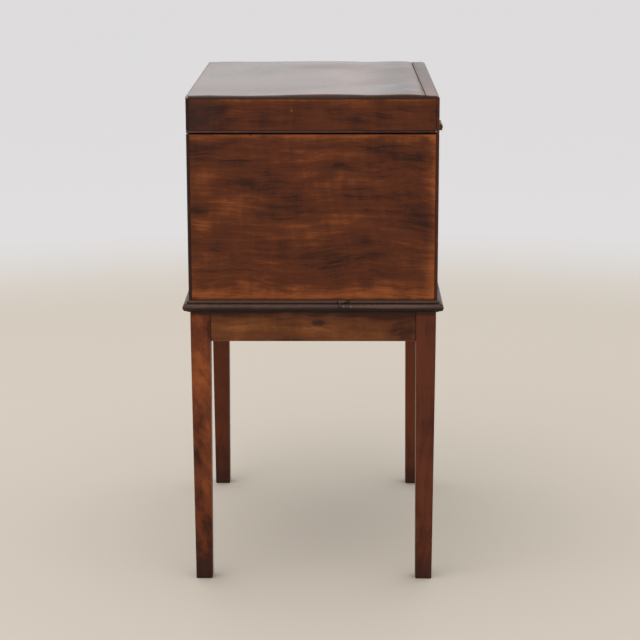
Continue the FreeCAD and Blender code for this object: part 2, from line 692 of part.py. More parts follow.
# ---------------------------------------------------------------- screws
def make_screws(label, spots, sizes_of_screw):
    """Slotted countersunk wood screws, one solid each. A spot is x, y and z of the head's outer face, with UP
    or DOWN for the way that the head looks."""
    shank_radius, head_radius, head_height, length = sizes_of_screw
    screws = []
    for number, (x, y, z, looks) in enumerate(spots, start=1):
        head = doc.addObject("Part::Cone", f"{label}_head_{number}")
        bind(head, Radius1=shank_radius, Radius2=head_radius, Height=head_height)
        place(head, 0, 0, f"-{head_height}")
        shank = doc.addObject("Part::Cylinder", f"{label}_shank_{number}")
        bind(shank, Radius=shank_radius, Height=f"{length} - {head_height}")
        place(shank, 0, 0, f"-{length}")
        whole = doc.addObject("Part::Fuse", f"{label}_whole_{number}")
        whole.Base = head
        whole.Tool = shank
        slot = doc.addObject("Part::Box", f"{label}_slot_{number}")
        bind(slot, Length=f"2 * {head_radius}", Width=f"{shank_radius} / 2", Height=f"{head_height} / 2")
        place(slot, f"-{head_radius}", f"-{shank_radius} / 4", f"-{head_height} / 2")
        screw = doc.addObject("Part::Cut", f"{label}_screw_{number}")
        screw.Base = whole
        screw.Tool = slot
        place(screw, x, y, z, 180.0 if looks == DOWN else 0.0, (1, 0, 0))
        screws.append(screw)
    group = doc.addObject("Part::Compound", label)
    group.Links = screws
    group.Label = label
    return group


def bind(piece, **formulas):
    for name, formula in formulas.items():
        piece.setExpression(name, cells(formula))


UP = "up"
DOWN = "down"
SMALL_SCREW = ("screw_radius", "screw_head_radius", "screw_head_height", "screw_length")
FIXING_SCREW = ("fixing_radius", "fixing_head_radius", "fixing_head_height", "fixing_length")

fixing_screw_spots = [(x, y, "frame_bottom", DOWN) for x, y in FIXING_SPOTS]
pieces.append(make_screws("box_fixing_screws", fixing_screw_spots, FIXING_SCREW))

# ---------------------------------------------------------------- hinges
# Each leaf is drawn about the pin's axis, Y to the back. The lid's leaf mirrors the box's leaf, upwards.
BOX_KNUCKLES = (0, 2, 4)
LID_KNUCKLES = (1, 3)
LEAF_SCREWS = (-1, 0, 1)  # one in the middle of the leaf and one to each side
STOP_SPARE = 0.3  # degrees that each stop leaves at the end of the travel
STOP_ANGLE = f"(open_angle / 2 + {STOP_SPARE})"


def knuckle_start(number):
    return f"(-hinge_length / 2 + stop_length + {number} * knuckle_pitch + knuckle_gap / 2)"


def make_leaf(label, up, own, other):
    """Hinge leaf with its knuckles and, past them at each end, a stop. The two leaves' stops are bevelled
    from the pin's axis, half of the travel each, so that they meet when the lid is open."""
    leaf = new_body(label)
    near_seam = signed(up, "seam_gap / 2")
    far = signed(up, "seam_gap / 2 + leaf_thickness")
    plate = rectangle("-leaf_inner", near_seam, "0", far)
    pad(leaf, "plate", "YZ_Plane", "-hinge_length / 2", "hinge_length", plate)
    for number in own:
        pad(leaf, f"knuckle_{number}", "YZ_Plane", knuckle_start(number), "knuckle_pitch - knuckle_gap",
            circles=[(0, 0)], radius="barrel_radius")
    for number in other:
        room = rectangle("-hinge_offset", "-barrel_radius", EASE, "barrel_radius")
        start = f"{knuckle_start(number)} - knuckle_gap"
        cut(leaf, f"room_{number}", "YZ_Plane", start, "knuckle_pitch + knuckle_gap", room, along_normal=True)
    stop_low = signed(up, "barrel_radius")
    stop = [
        ("-barrel_radius", near_seam),
        (f"seam_gap / 2 / tan({STOP_ANGLE} * 1 deg)", near_seam),
        (f"barrel_radius / tan({STOP_ANGLE} * 1 deg)", stop_low),
        ("-barrel_radius", stop_low),
    ]
    for name, start in (("stop_left", "-hinge_length / 2"), ("stop_right", "hinge_length / 2 - stop_length")):
        room = rectangle("-barrel_radius", "-barrel_radius", EASE, "barrel_radius")
        cut(leaf, f"{name}_room", "YZ_Plane", start, "stop_length", room, along_normal=True)
        pad(leaf, name, "YZ_Plane", start, "stop_length", stop)
    cut(leaf, "pin_hole", "YZ_Plane", "-hinge_length / 2 + stop_length", "hinge_length - 2 * stop_length",
        circles=[(0, 0)], radius="pin_radius + pin_clearance", along_normal=True)
    drill_leaf(leaf, up)
    return leaf


def drill_leaf(leaf, up):
    """Countersunk holes for three screws."""
    radii = ("screw_radius + screw_fit", "screw_head_radius + screw_fit")
    lower, upper = radii if up < 0 else reversed(radii)
    sink_z = "-seam_gap / 2 - screw_head_height" if up < 0 else "seam_gap / 2"
    spots = [(f"{number} * leaf_screw_spacing", "-hinge_offset - hinge_reach / 2") for number in LEAF_SCREWS]
    for x, y in spots:
        sink = leaf.newObject("PartDesign::SubtractiveCone", "countersink")
        bind(sink, Radius1=lower, Radius2=upper, Height="screw_head_height")
        place(sink, x, y, sink_z)
        leaf.Tip = sink
        doc.recompute()
    low = f"-seam_gap / 2 - leaf_thickness - {EASE}" if up < 0 else "0"
    cut(leaf, "screw_holes", "XY_Plane", low, f"seam_gap / 2 + leaf_thickness + {EASE}", circles=spots,
        radius="screw_radius + screw_fit", along_normal=True)


def make_pin(label, side):
    """Hinge pin through all five knuckles, kept in by the stops at both ends."""
    pin = doc.addObject("Part::Cylinder", label)
    pin.Label = label
    bind(pin, Radius="pin_radius", Height="hinge_length - 2 * stop_length - knuckle_gap")
    start = f"{signed(side, 'hinge_x')} - hinge_length / 2 + stop_length + knuckle_gap / 2"
    place(pin, start, "hinge_y", "hinge_z", 90.0, (0, 1, 0))
    return pin


HINGES = (("left", LEFT), ("right", RIGHT))
for name, side in HINGES:
    box_leaf = make_leaf(f"hinge_box_leaf_{name}", -1, BOX_KNUCKLES, LID_KNUCKLES)
    lid_leaf = make_leaf(f"hinge_lid_leaf_{name}", 1, LID_KNUCKLES, BOX_KNUCKLES)
    for leaf in (box_leaf, lid_leaf):
        place(leaf, signed(side, "hinge_x"), "hinge_y", "hinge_z")
    pieces += [box_leaf, lid_leaf, make_pin(f"hinge_pin_{name}", side)]


def leaf_recess(side):
    """Outline of one hinge leaf's recess in the edge of a back board."""
    middle = signed(side, "hinge_x")
    half = "(hinge_length / 2 + joint_fit)"
    inner = "half_depth - hinge_reach - joint_fit"
    return rectangle(f"{middle} - {half}", inner, f"{middle} + {half}", f"half_depth + {EASE}")


LEAF_SCREW_SPOTS = [
    (f"{signed(side, 'hinge_x')} + {number} * leaf_screw_spacing", "leaf_screw_y")
    for name, side in HINGES
    for number in LEAF_SCREWS
]
RECESS_DEPTH = "leaf_thickness + joint_fit"
HOLE_DEPTH = "screw_length + joint_fit"
cut(box_back, "hinge_recesses", "XY_Plane", "box_top", RECESS_DEPTH, leaf_recess(LEFT), leaf_recess(RIGHT))
cut(box_back, "hinge_screw_holes", "XY_Plane", "box_top", HOLE_DEPTH, circles=LEAF_SCREW_SPOTS,
    radius="screw_radius + screw_fit")
cut(lid_back, "hinge_recesses", "XY_Plane", "lid_bottom", RECESS_DEPTH, leaf_recess(LEFT), leaf_recess(RIGHT),
    along_normal=True)
cut(lid_back, "hinge_screw_holes", "XY_Plane", "lid_bottom", HOLE_DEPTH, circles=LEAF_SCREW_SPOTS,
    radius="screw_radius + screw_fit", along_normal=True)
pieces += [
    make_screws("hinge_box_screws", [(x, y, "box_top", UP) for x, y in LEAF_SCREW_SPOTS], SMALL_SCREW),
    make_screws("hinge_lid_screws", [(x, y, "lid_bottom", DOWN) for x, y in LEAF_SCREW_SPOTS], SMALL_SCREW),
]

# ---------------------------------------------------------------- lock
CASE_TOP = "(box_top - top_plate_thickness)"
CASE_HALF = "case_length / 2"
CASE_OUTER = "-(inner_y + case_depth)"
PLATE_OUTER = "-(half_depth - top_plate_margin)"
HOOKS = (("left", "(-hook_spacing / 2)"), ("right", "(hook_spacing / 2)"))
LOCK_SCREW_SPOTS = [(signed(side, "lock_screw_x"), "-lock_y") for side in (LEFT, RIGHT)]


def hook_slot(x):
    """Slot in the lock's top plate, long enough for the hook and for nothing else."""
    half = "(hook_thickness / 2 + hook_slot_fit)"
    wide = "(hook_width / 2 + hook_slot_fit)"
    return rectangle(f"{x} - {half}", f"-lock_y - {wide}", f"{x} + {half}", f"-lock_y + {wide}")


def keyhole(radius, half_width, end):
    """Round with a slot below it, drawn in X and Z about the keyhole's round."""
    shoulder = f"(key_z - sqrt(({radius}) * ({radius}) - ({half_width}) * ({half_width})))"
    return [
        (f"-({half_width})", f"key_z - ({end})"),
        (half_width, f"key_z - ({end})"),
        (half_width, shoulder),
        (f"-({half_width})", shoulder, 0, "key_z", 0, f"key_z + {radius}"),
    ]


def wider_keyhole(margin):
    """The keyhole's outline, moved outwards."""
    radius, half_width, end = [
        f"({size} + {margin})" for size in ("key_radius", "key_slot_width / 2", "key_slot_length")
    ]
    return keyhole(radius, half_width, end)


KEYHOLE = wider_keyhole("0")
ESCUTCHEON = wider_keyhole("escutcheon_rim")
ESCUTCHEON_ROOM = wider_keyhole("escutcheon_rim + escutcheon_fit")

lock_case = new_body("lock_case")
pad(lock_case, "case", "XY_Plane", f"{CASE_TOP} - case_drop", "case_drop",
    rectangle(f"-{CASE_HALF}", CASE_OUTER, CASE_HALF, "-inner_y"))
ROOM_HALF = "(case_length / 2 - case_wall)"
ROOM_Y = (f"{CASE_OUTER} + case_wall", "-inner_y - case_wall")
cut(lock_case, "room", "XY_Plane", CASE_TOP, "case_drop - case_wall",
    rectangle(f"-{ROOM_HALF}", ROOM_Y[0], ROOM_HALF, ROOM_Y[1]))
pad(lock_case, "top_plate", "XY_Plane", CASE_TOP, "top_plate_thickness",
    rectangle("-top_plate_length / 2", PLATE_OUTER, "top_plate_length / 2", "-inner_y"))
hook_slots = [hook_slot(x) for name, x in HOOKS]
cut(lock_case, "hook_slots", "XY_Plane", "box_top", "top_plate_thickness", *hook_slots)
cut(lock_case, "keyhole", "XZ_Plane", f"-({CASE_OUTER})", "case_wall", KEYHOLE)
cut(lock_case, "screw_heads", "XY_Plane", "box_top", "screw_head_height + screw_fit",
    circles=LOCK_SCREW_SPOTS, radius="screw_head_radius + screw_fit")
cut(lock_case, "screw_holes", "XY_Plane", "box_top", "top_plate_thickness", circles=LOCK_SCREW_SPOTS,
    radius="screw_radius + screw_fit")

# The bolt is a bar with two uprights, whose noses enter the hooks' eyes when it slides to the right.
lock_bolt = new_body("lock_bolt")
BOLT_Y = ("-lock_y - nose_width / 2", "-lock_y + nose_width / 2")
BAR_TOP = "(lid_bottom - hook_drop - nose_lead)"
BAR_BOTTOM = f"({BAR_TOP} - bolt_bar_height)"
BAR_LEFT = "-hook_spacing / 2 - nose_setback - nose_length"
BAR_RIGHT = "hook_spacing / 2 - nose_setback"
pad(lock_bolt, "bar", "XY_Plane", BAR_BOTTOM, "bolt_bar_height",
    rectangle(BAR_LEFT, BOLT_Y[0], BAR_RIGHT, BOLT_Y[1]))
for name, x in HOOKS:
    left = f"{x} - nose_setback - nose_length"
    post = rectangle(left, BOLT_Y[0], f"{left} + post_length", BOLT_Y[1])
    nose = rectangle(left, BOLT_Y[0], f"{left} + nose_length", BOLT_Y[1])
    pad(lock_bolt, f"post_{name}", "XY_Plane", BAR_TOP, f"nose_z + nose_height - {BAR_TOP}", post)
    pad(lock_bolt, f"nose_{name}", "XY_Plane", "nose_z", "nose_height", nose)

# The bar runs on two runners across the case, which carry it over its whole travel.
RUNNER_BOTTOM = f"{BAR_BOTTOM} - bolt_fit - runner_height"
for name, x in HOOKS:
    end = f"{x} - nose_setback"
    runner = rectangle(f"{end} - runner_length", ROOM_Y[0], end, ROOM_Y[1])
    pad(lock_case, f"runner_{name}", "XY_Plane", RUNNER_BOTTOM, "runner_height", runner)

lock_link_plate = new_body("lock_link_plate")
LINK_LOW_Y = "(-half_depth + bead_depth + link_plate_margin)"
LINK_HIGH_Y = "(-inner_y - link_plate_margin)"
pad(lock_link_plate, "plate", "XY_Plane", "lid_bottom", "link_plate_thickness",
    rectangle("-link_plate_length / 2", LINK_LOW_Y, "link_plate_length / 2", LINK_HIGH_Y))
HOOK_Y = ("-lock_y - hook_width / 2", "-lock_y + hook_width / 2")
for name, x in HOOKS:
    hook = rectangle(f"{x} - hook_thickness / 2", HOOK_Y[0], f"{x} + hook_thickness / 2", HOOK_Y[1])
    pad(lock_link_plate, f"hook_{name}", "XY_Plane", "lid_bottom - hook_drop", "hook_drop", hook)
EYE_Y = ("-lock_y - eye_width / 2", "-lock_y + eye_width / 2")
eyes = rectangle(EYE_Y[0], "eye_bottom", EYE_Y[1], "eye_bottom + eye_height")
cut(lock_link_plate, "eyes", "YZ_Plane", "-hook_spacing", "2 * hook_spacing", eyes, along_normal=True)
LINK_MIDDLE_Y = f"({LINK_LOW_Y} + {LINK_HIGH_Y}) / 2"
LINK_SCREW_SPOTS = [(signed(side, "link_screw_x"), LINK_MIDDLE_Y) for side in (LEFT, RIGHT)]
cut(lock_link_plate, "screw_heads", "XY_Plane", "lid_bottom", "screw_head_height + screw_fit",
    circles=LINK_SCREW_SPOTS, radius="screw_head_radius + screw_fit", along_normal=True)
cut(lock_link_plate, "screw_holes", "XY_Plane", "lid_bottom", "link_plate_thickness",
    circles=LINK_SCREW_SPOTS, radius="screw_radius + screw_fit", along_normal=True)

keyhole_escutcheon = new_body("keyhole_escutcheon")
ESCUTCHEON_BACK = "half_depth + escutcheon_proud - escutcheon_depth"
pad(keyhole_escutcheon, "plate", "XZ_Plane", ESCUTCHEON_BACK, "escutcheon_depth", ESCUTCHEON)
cut(keyhole_escutcheon, "keyhole", "XZ_Plane", "half_depth + escutcheon_proud", "escutcheon_depth", KEYHOLE)

# the lock's room in the front board, and the link plate's in the lid
def room_for(length, low_y, high_y):
    """Recess for a plate of that length in the middle of the front, with the joint's clearance round it."""
    half = f"({length} / 2 + joint_fit)"
    return rectangle(f"-{half}", f"{low_y} - joint_fit", half, high_y)


cut(box_front, "lock_mortise", "XY_Plane", "box_top", "top_plate_thickness + case_drop + joint_fit",
    room_for("case_length", CASE_OUTER, f"-inner_y + {EASE}"))
# the plate closes its recess from above, flush with the board's edge
cut(box_front, "top_plate_recess", "XY_Plane", "box_top", "top_plate_thickness",
    room_for("top_plate_length", PLATE_OUTER, f"-inner_y + {EASE}"))
cut(box_front, "lock_screw_holes", "XY_Plane", "box_top", HOLE_DEPTH, circles=LOCK_SCREW_SPOTS,
    radius="screw_radius + screw_fit")
cut(box_front, "keyhole", "XZ_Plane", "half_depth", "board - case_depth", KEYHOLE)
cut(box_front, "escutcheon_recess", "XZ_Plane", "half_depth", "escutcheon_depth - escutcheon_proud",
    ESCUTCHEON_ROOM)
cut(lid_front, "link_plate_recess", "XY_Plane", "lid_bottom", "link_plate_thickness",
    room_for("link_plate_length", LINK_LOW_Y, f"{LINK_HIGH_Y} + joint_fit"), along_normal=True)
cut(lid_front, "link_screw_holes", "XY_Plane", "lid_bottom", HOLE_DEPTH, circles=LINK_SCREW_SPOTS,
    radius="screw_radius + screw_fit", along_normal=True)
pieces += [
    lock_case,
    lock_bolt,
    lock_link_plate,
    keyhole_escutcheon,
    make_screws("lock_screws", [(x, y, "box_top", UP) for x, y in LOCK_SCREW_SPOTS], SMALL_SCREW),
    make_screws("link_plate_screws", [(x, y, "lid_bottom", DOWN) for x, y in LINK_SCREW_SPOTS], SMALL_SCREW),
]

# ---------------------------------------------------------------- check and write
doc.recompute()
for item in doc.Objects:
    if "Invalid" in item.State or "Error" in item.State:
        raise RuntimeError(f"{item.Label} failed: {item.State}")
for piece in pieces:
    if piece.Shape.isNull() or not piece.Shape.isValid() or piece.Shape.Volume <= 0:
        raise RuntimeError(f"{piece.Label} has no valid solid")

os.makedirs("parts", exist_ok=True)
for piece in pieces:
    piece.Shape.exportStep(os.path.join("parts", f"{piece.Label}.step"))
print(len(pieces), "pieces written")
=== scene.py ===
# %% [markdown]
# # A cellarette on its stand
# A cellarette is a small case for bottles: here a mahogany box with a deep hinged lid, in a moulded frame
# on four tapered legs. Its solids come from the CAD model, at their real size and with their joints.
# Blender adds what long use adds: eased arrises, a bowed top, figured wood, worn varnish, wax in the
# joints and tarnish on the brass.
#
# The solids are loaded first.

import json
import math

import bmesh
import bpy
from mathutils import Matrix, Vector, noise

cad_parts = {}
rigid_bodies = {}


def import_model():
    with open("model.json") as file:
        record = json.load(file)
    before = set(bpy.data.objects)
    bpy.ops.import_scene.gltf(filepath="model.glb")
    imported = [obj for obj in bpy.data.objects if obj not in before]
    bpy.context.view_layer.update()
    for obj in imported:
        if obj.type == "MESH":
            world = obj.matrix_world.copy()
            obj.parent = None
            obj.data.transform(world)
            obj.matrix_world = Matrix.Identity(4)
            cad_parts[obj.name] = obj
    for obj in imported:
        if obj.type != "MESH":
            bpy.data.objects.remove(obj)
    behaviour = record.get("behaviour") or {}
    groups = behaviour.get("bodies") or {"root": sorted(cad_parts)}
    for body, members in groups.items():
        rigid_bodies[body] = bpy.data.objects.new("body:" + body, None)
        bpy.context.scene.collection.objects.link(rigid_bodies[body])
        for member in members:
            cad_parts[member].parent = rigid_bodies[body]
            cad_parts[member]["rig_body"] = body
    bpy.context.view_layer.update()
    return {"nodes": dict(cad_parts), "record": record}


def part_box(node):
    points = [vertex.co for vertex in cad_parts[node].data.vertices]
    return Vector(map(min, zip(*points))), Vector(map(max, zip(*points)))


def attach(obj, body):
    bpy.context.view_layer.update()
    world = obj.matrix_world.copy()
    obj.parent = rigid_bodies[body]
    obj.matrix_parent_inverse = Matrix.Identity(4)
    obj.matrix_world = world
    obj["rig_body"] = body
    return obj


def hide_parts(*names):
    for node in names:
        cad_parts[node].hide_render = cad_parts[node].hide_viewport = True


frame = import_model()
SLOTS = {row["node"]: row["material_slot"] for row in frame["record"]["subparts"]}
MM = 0.001

# %% [markdown]
# ## The camera
# The piece is seen from its right end, from a little above the lid. A long lens keeps the legs nearly
# parallel. Three plain angles aim the camera as well as a Track To constraint would, and are easier to
# change: how far it is turned, how far it looks down and how far it leans.

# %% Place the camera
CAMERA_PLACE = Vector((3.1430, 0.0431, 1.0836))
LOOKS_DOWN = 0.2267
TURNED = 0.0113
LEANS = -0.0021
LENS = 109.1


def place_camera():
    lens = bpy.data.cameras.new("end_view")
    lens.lens = LENS
    lens.clip_end = 100.0
    camera = bpy.data.objects.new("end_view", lens)
    bpy.context.scene.collection.objects.link(camera)
    turn = Matrix.Rotation(math.pi / 2 + TURNED, 4, "Z") @ Matrix.Rotation(math.pi / 2 - LOOKS_DOWN, 4, "X")
    camera.matrix_world = Matrix.Translation(CAMERA_PLACE) @ turn @ Matrix.Rotation(LEANS, 4, "Z")
    return camera


bpy.context.scene.camera = place_camera()
print("camera:", round(CAMERA_PLACE.length, 2), "m from the middle of the floor")

# %% [markdown]
# ## A small vocabulary for shader nodes
# Every finish below is made of nodes. By hand each takes three lines, for the node, its settings and its
# links, and the idea drowns in them. These helpers put a node in one line: a socket is given either a
# value or another node's output.

# %% Helpers for nodes
def feed(socket, source):
    if isinstance(source, bpy.types.NodeSocket):
        socket.id_data.links.new(source, socket)
    else:
        socket.default_value = source


def add(tree, kind, sockets, **settings):
    made = tree.nodes.new("ShaderNode" + kind)
    for name, setting in settings.items():
        setattr(made, name, setting)
    for name, source in sockets.items():
        feed(made.inputs[name], source)
    return made


def maths(tree, operation, first, second):
    return add(tree, "Math", {0: first, 1: second}, operation=operation).outputs[0]


def vectors(tree, operation, first, second=(0.0, 0.0, 0.0)):
    made = add(tree, "VectorMath", {0: first, 1: second}, operation=operation)
    return made.outputs["Value" if operation == "LENGTH" else "Vector"]


def spread(tree, source, low, high, to_low=0.0, to_high=1.0):
    sockets = {"Value": source, "From Min": low, "From Max": high, "To Min": to_low, "To Max": to_high}
    return add(tree, "MapRange", sockets, interpolation_type="SMOOTHSTEP").outputs["Result"]


def mix(tree, share, first, second):
    return add(tree, "Mix", {0: share, 6: first, 7: second}, data_type="RGBA").outputs[2]


print("node helpers ready")

# %% [markdown]
# Noise is the other half of the vocabulary. Centred noise runs about zero, so it can be added without
# changing the average. A point can be bent by noise before it is used, and everything laid out by it bends
# too.

# %% Helpers for noise
def speckle(tree, place, scale, detail=2.0, roughness=0.5):
    sockets = {"Vector": place, "Scale": scale, "Detail": detail, "Roughness": roughness}
    return add(tree, "TexNoise", sockets).outputs["Fac"]


def centred(tree, place, scale, detail, roughness=0.5):
    """Noise about zero, so that adding it keeps the average."""
    return maths(tree, "SUBTRACT", speckle(tree, place, scale, detail, roughness), 0.5)


def bend(tree, point, scale, detail, reach):
    """Move the point by a smooth noise, by up to about half of reach in each direction."""
    drift = add(tree, "TexNoise", {"Vector": point, "Scale": scale, "Detail": detail}).outputs["Color"]
    about_zero = vectors(tree, "SUBTRACT", drift, (0.5, 0.5, 0.5))
    return vectors(tree, "ADD", point, vectors(tree, "MULTIPLY", about_zero, reach))


print("noise helpers ready")

# %% [markdown]
# A material starts with its node tree, the sockets of Blender's own shader and the point that is being
# coloured, in metres from the piece's origin, so a mark stays where it is put when the lid opens.
#
# Colours are given as they stand on a colour card, from 0 to 255, since that is how a finisher compares
# them. The shader works with linear light, so the card's values are converted once, here, by the usual
# curve for screens.

# %% Helpers for materials
def new_material(name):
    material = bpy.data.materials.new(name)
    material.use_nodes = True
    tree = material.node_tree
    return material, tree, tree.nodes["Principled BSDF"].inputs, add(tree, "TexCoord", {}).outputs["Object"]


def emboss(tree, shader, height, strength, distance):
    bump = add(tree, "Bump", {"Height": height, "Strength": strength, "Distance": distance})
    feed(shader["Normal"], bump.outputs[0])


def stain(red, green, blue):
    parts = [value / 255 for value in (red, green, blue)]
    linear = [part / 12.92 if part <= 0.04045 else ((part + 0.055) / 1.055) ** 2.4 for part in parts]
    return (*linear, 1.0)


# A near-black for wax in the joints, also used as painted shade on the moulding.
WAX_AND_SHADE = stain(26, 18, 15)
print("wax black in linear light:", [round(part, 4) for part in WAX_AND_SHADE[:3]])

# %% [markdown]
# ## Floor and light
# A plain pale floor shows the dark wood without colouring it. It is sand-coloured near the piece and turns
# to light grey further out, as a paper backdrop does. One flat colour would need no nodes, but then near
# and far would look alike.

# %% Lay the floor
FLOOR_HALF = 30.0
SAND = stain(215, 205, 191)
BACKDROP = stain(231, 229, 229)
SAND_ENDS = 1.7
BACKDROP_STARTS = 2.9


def make_floor():
    mesh = bpy.data.meshes.new("floor")
    corners = [(x * FLOOR_HALF, y * FLOOR_HALF, 0.0) for x, y in ((-1, -1), (1, -1), (1, 1), (-1, 1))]
    mesh.from_pydata(corners, [], [(0, 1, 2, 3)])
    floor = bpy.data.objects.new("floor", mesh)
    bpy.context.scene.collection.objects.link(floor)
    material, tree, shader, point = new_material("pale_floor")
    away = spread(tree, vectors(tree, "LENGTH", point), SAND_ENDS, BACKDROP_STARTS)
    feed(shader["Base Color"], mix(tree, away, SAND, BACKDROP))
    shader["Roughness"].default_value = 0.8
    mesh.materials.append(material)


make_floor()
print("floor:", 2 * FLOOR_HALF, "m square")

# %% [markdown]
# The room is pale too. It gives most of the light, and most of that comes from its ceiling, so shadows
# stay soft but the undersides are dark. Its far wall is brighter than the near one, because varnish that
# is seen almost edge on turns into a mirror, and what the lid's top shows is that wall. One broad soft
# light hangs above.

# %% Set the lights
def soft_light(name, place, target, size, power):
    lamp = bpy.data.lights.new(name, "AREA")
    lamp.size = size
    lamp.energy = power
    light = bpy.data.objects.new(name, lamp)
    light.location = place
    light.rotation_euler = (Vector(target) - Vector(place)).to_track_quat("-Z", "Y").to_euler()
    light.visible_camera = False
    bpy.context.scene.collection.objects.link(light)


def light_room(near, behind, ceiling):
    world = bpy.data.worlds.new("pale_room")
    world.use_nodes = True
    tree = world.node_tree
    room = tree.nodes["Background"]
    room.inputs["Color"].default_value = (1.0, 1.0, 1.0, 1.0)
    way = add(tree, "SeparateXYZ", {0: add(tree, "TexCoord", {}).outputs["Generated"]}).outputs
    walls = spread(tree, way["X"], -1.0, 0.4, behind, near)
    above = spread(tree, way["Z"], 0.1, 0.9, 0.0, ceiling)
    feed(room.inputs["Strength"], maths(tree, "ADD", walls, above))
    bpy.context.scene.world = world


light_room(near=0.34, behind=0.72, ceiling=0.60)
soft_light("overhead", place=(0.9, -0.7, 2.7), target=(0.0, 0.0, 0.4), size=2.2, power=14.0)
bpy.context.scene.view_settings.view_transform = "Standard"

# %% [markdown]
# ## Node groups
# An effect that several finishes share is a node group: it is built once and placed in each material with
# its own values, like a jig that is set for each board. A group here hands out only colours and masks, and
# the shader stays in the material.

# %% Helpers for node groups
def start_group(name, inputs, outputs, **starts):
    """A new group with its ends. starts are the values of inputs that a material may leave out."""
    group = bpy.data.node_groups.new(name, "ShaderNodeTree")
    for label, kind in inputs.items():
        socket = group.interface.new_socket(name=label, in_out="INPUT", socket_type="NodeSocket" + kind)
        if label in starts:
            socket.default_value = starts[label]
    for label, kind in outputs.items():
        group.interface.new_socket(name=label, in_out="OUTPUT", socket_type="NodeSocket" + kind)
    return group, group.nodes.new("NodeGroupInput").outputs, group.nodes.new("NodeGroupOutput").inputs


def use_group(tree, group, sockets):
    placed = tree.nodes.new("ShaderNodeGroup")
    placed.node_tree = group
    for name, source in sockets.items():
        feed(placed.inputs[name], source)
    return placed.outputs


print("group helpers ready")

# %% [markdown]
# ## The figure of mahogany
# Mahogany has several scales of pattern. Broad clouds of darker and redder wood run with the grain for a
# hand's breadth. Over them lie streaks a few millimetres wide, then the fine lines of the grain, and faint
# ripples that cross it. Under a glass there are pores too, short dark dashes. A wood texture of rings
# would suit pine, but mahogany's rings hardly show, so each scale is a noise, stretched along the grain,
# or across it for the ripples. The coordinates are bent first, because no tree grows straight.
#
# The group takes the point in the board's own directions, X along the grain. A seed shifts it, so that no
# two boards are cut from the same place in the log. Lift makes the wood lighter where it is above zero,
# and darker below, without hiding the figure.

# %% Settings of the figure
LAYERS = (
    # thinness across the grain, scale along it, detail, and how much it counts or the input that says so
    (2.6, 6.0, 5.0, "Cloud"),
    (7.0, 17.0, 5.0, "Streak"),
    (34.0, 15.0, 3.0, 0.30),
    (0.2, 70.0, 3.0, 0.24),
)
DARK_TO_WARM = (0.28, 0.50)
WARM_TO_LIGHT = (0.48, 0.92)
SEED_STEP = (1.7, 3.1, 2.3)
PORE_SHAPE = (1.0, 11.0, 11.0)
PORE_SCALE = 190.0
PORE_RANGE = (0.60, 0.72)
PORE_DARKENS = 0.35
FIGURE_INPUTS = {"Vector": "Vector", "Seed": "Float", "Dark": "Color", "Warm": "Color", "Light": "Color",
                 "Cloud": "Float", "Streak": "Float", "Lift": "Float"}
print("layers of figure:", len(LAYERS))

# %% [markdown]
# The noises add up to one tone, which runs from the dark wood through the warm to the light. They could be
# mixed one over the other, but then each would hide a part of the one below. Added, they all show.

# %% Build the figure group
def build_figure():
    group, given, out = start_group("mahogany figure", FIGURE_INPUTS, {"Colour": "Color", "Pores": "Float"})
    seed = add(group, "CombineXYZ", {axis: given["Seed"] for axis in "XYZ"}).outputs[0]
    point = vectors(group, "ADD", given["Vector"], vectors(group, "MULTIPLY", seed, SEED_STEP))
    bent = bend(group, point, 6.0, 3.0, (80 * MM, 40 * MM, 40 * MM))
    tone = maths(group, "ADD", given["Lift"], 0.5)
    for thin, scale, detail, weight in LAYERS:
        drawn_out = vectors(group, "MULTIPLY", bent, (1.0, thin, thin))
        amount = given[weight] if weight in FIGURE_INPUTS else weight
        layer = maths(group, "MULTIPLY", centred(group, drawn_out, scale, detail, 0.55), amount)
        tone = maths(group, "ADD", tone, layer)
    lower = mix(group, spread(group, tone, *DARK_TO_WARM), given["Dark"], given["Warm"])
    body = mix(group, spread(group, tone, *WARM_TO_LIGHT), lower, given["Light"])
    dashes = speckle(group, vectors(group, "MULTIPLY", point, PORE_SHAPE), PORE_SCALE, 1.0)
    pores = spread(group, dashes, *PORE_RANGE)
    feed(out["Colour"], mix(group, maths(group, "MULTIPLY", pores, PORE_DARKENS), body, given["Dark"]))
    feed(out["Pores"], pores)
    return group


FIGURE = build_figure()
print("figure group:", len(FIGURE.nodes), "nodes")

# %% [markdown]
# ## Nearness to an arris
# Boards wear first along their arrises, and wax gathers in the joints, so both effects need to know how
# near a point is to the edge of its board. A bevel or pointiness lookup could tell, but it depends on the
# mesh or on extra rays. A board is nearly a box, and its corners are known, so plain arithmetic does it:
# on the surface, the distance to the nearest side is almost zero, and the second smallest distance is the
# way to the nearest arris. A box given larger than the board on one side leaves that side's arrises out.

# %% Build the arris group
def build_arris():
    inputs = {"Vector": "Vector", "Low": "Vector", "High": "Vector", "Width": "Float", "Raggedness": "Float",
              "Patches": "Float"}
    group, given, out = start_group("nearness to an arris", inputs, {"Mask": "Float"},
                                    Raggedness=2.0, Patches=60.0)
    inward = vectors(group, "MINIMUM", vectors(group, "SUBTRACT", given["Vector"], given["Low"]),
                     vectors(group, "SUBTRACT", given["High"], given["Vector"]))
    sides = add(group, "SeparateXYZ", {0: vectors(group, "ABSOLUTE", inward)}).outputs
    smaller = maths(group, "MINIMUM", sides["X"], sides["Y"])
    larger = maths(group, "MAXIMUM", sides["X"], sides["Y"])
    second = maths(group, "MAXIMUM", smaller, maths(group, "MINIMUM", larger, sides["Z"]))
    uneven = centred(group, given["Vector"], given["Patches"], 4.0)
    factor = maths(group, "ADD", 1.0, maths(group, "MULTIPLY", uneven, given["Raggedness"]))
    feed(out["Mask"], spread(group, second, 0.0, maths(group, "MULTIPLY", given["Width"], factor), 1.0, 0.0))
    return group


ARRIS = build_arris()
print("arris group:", len(ARRIS.nodes), "nodes")

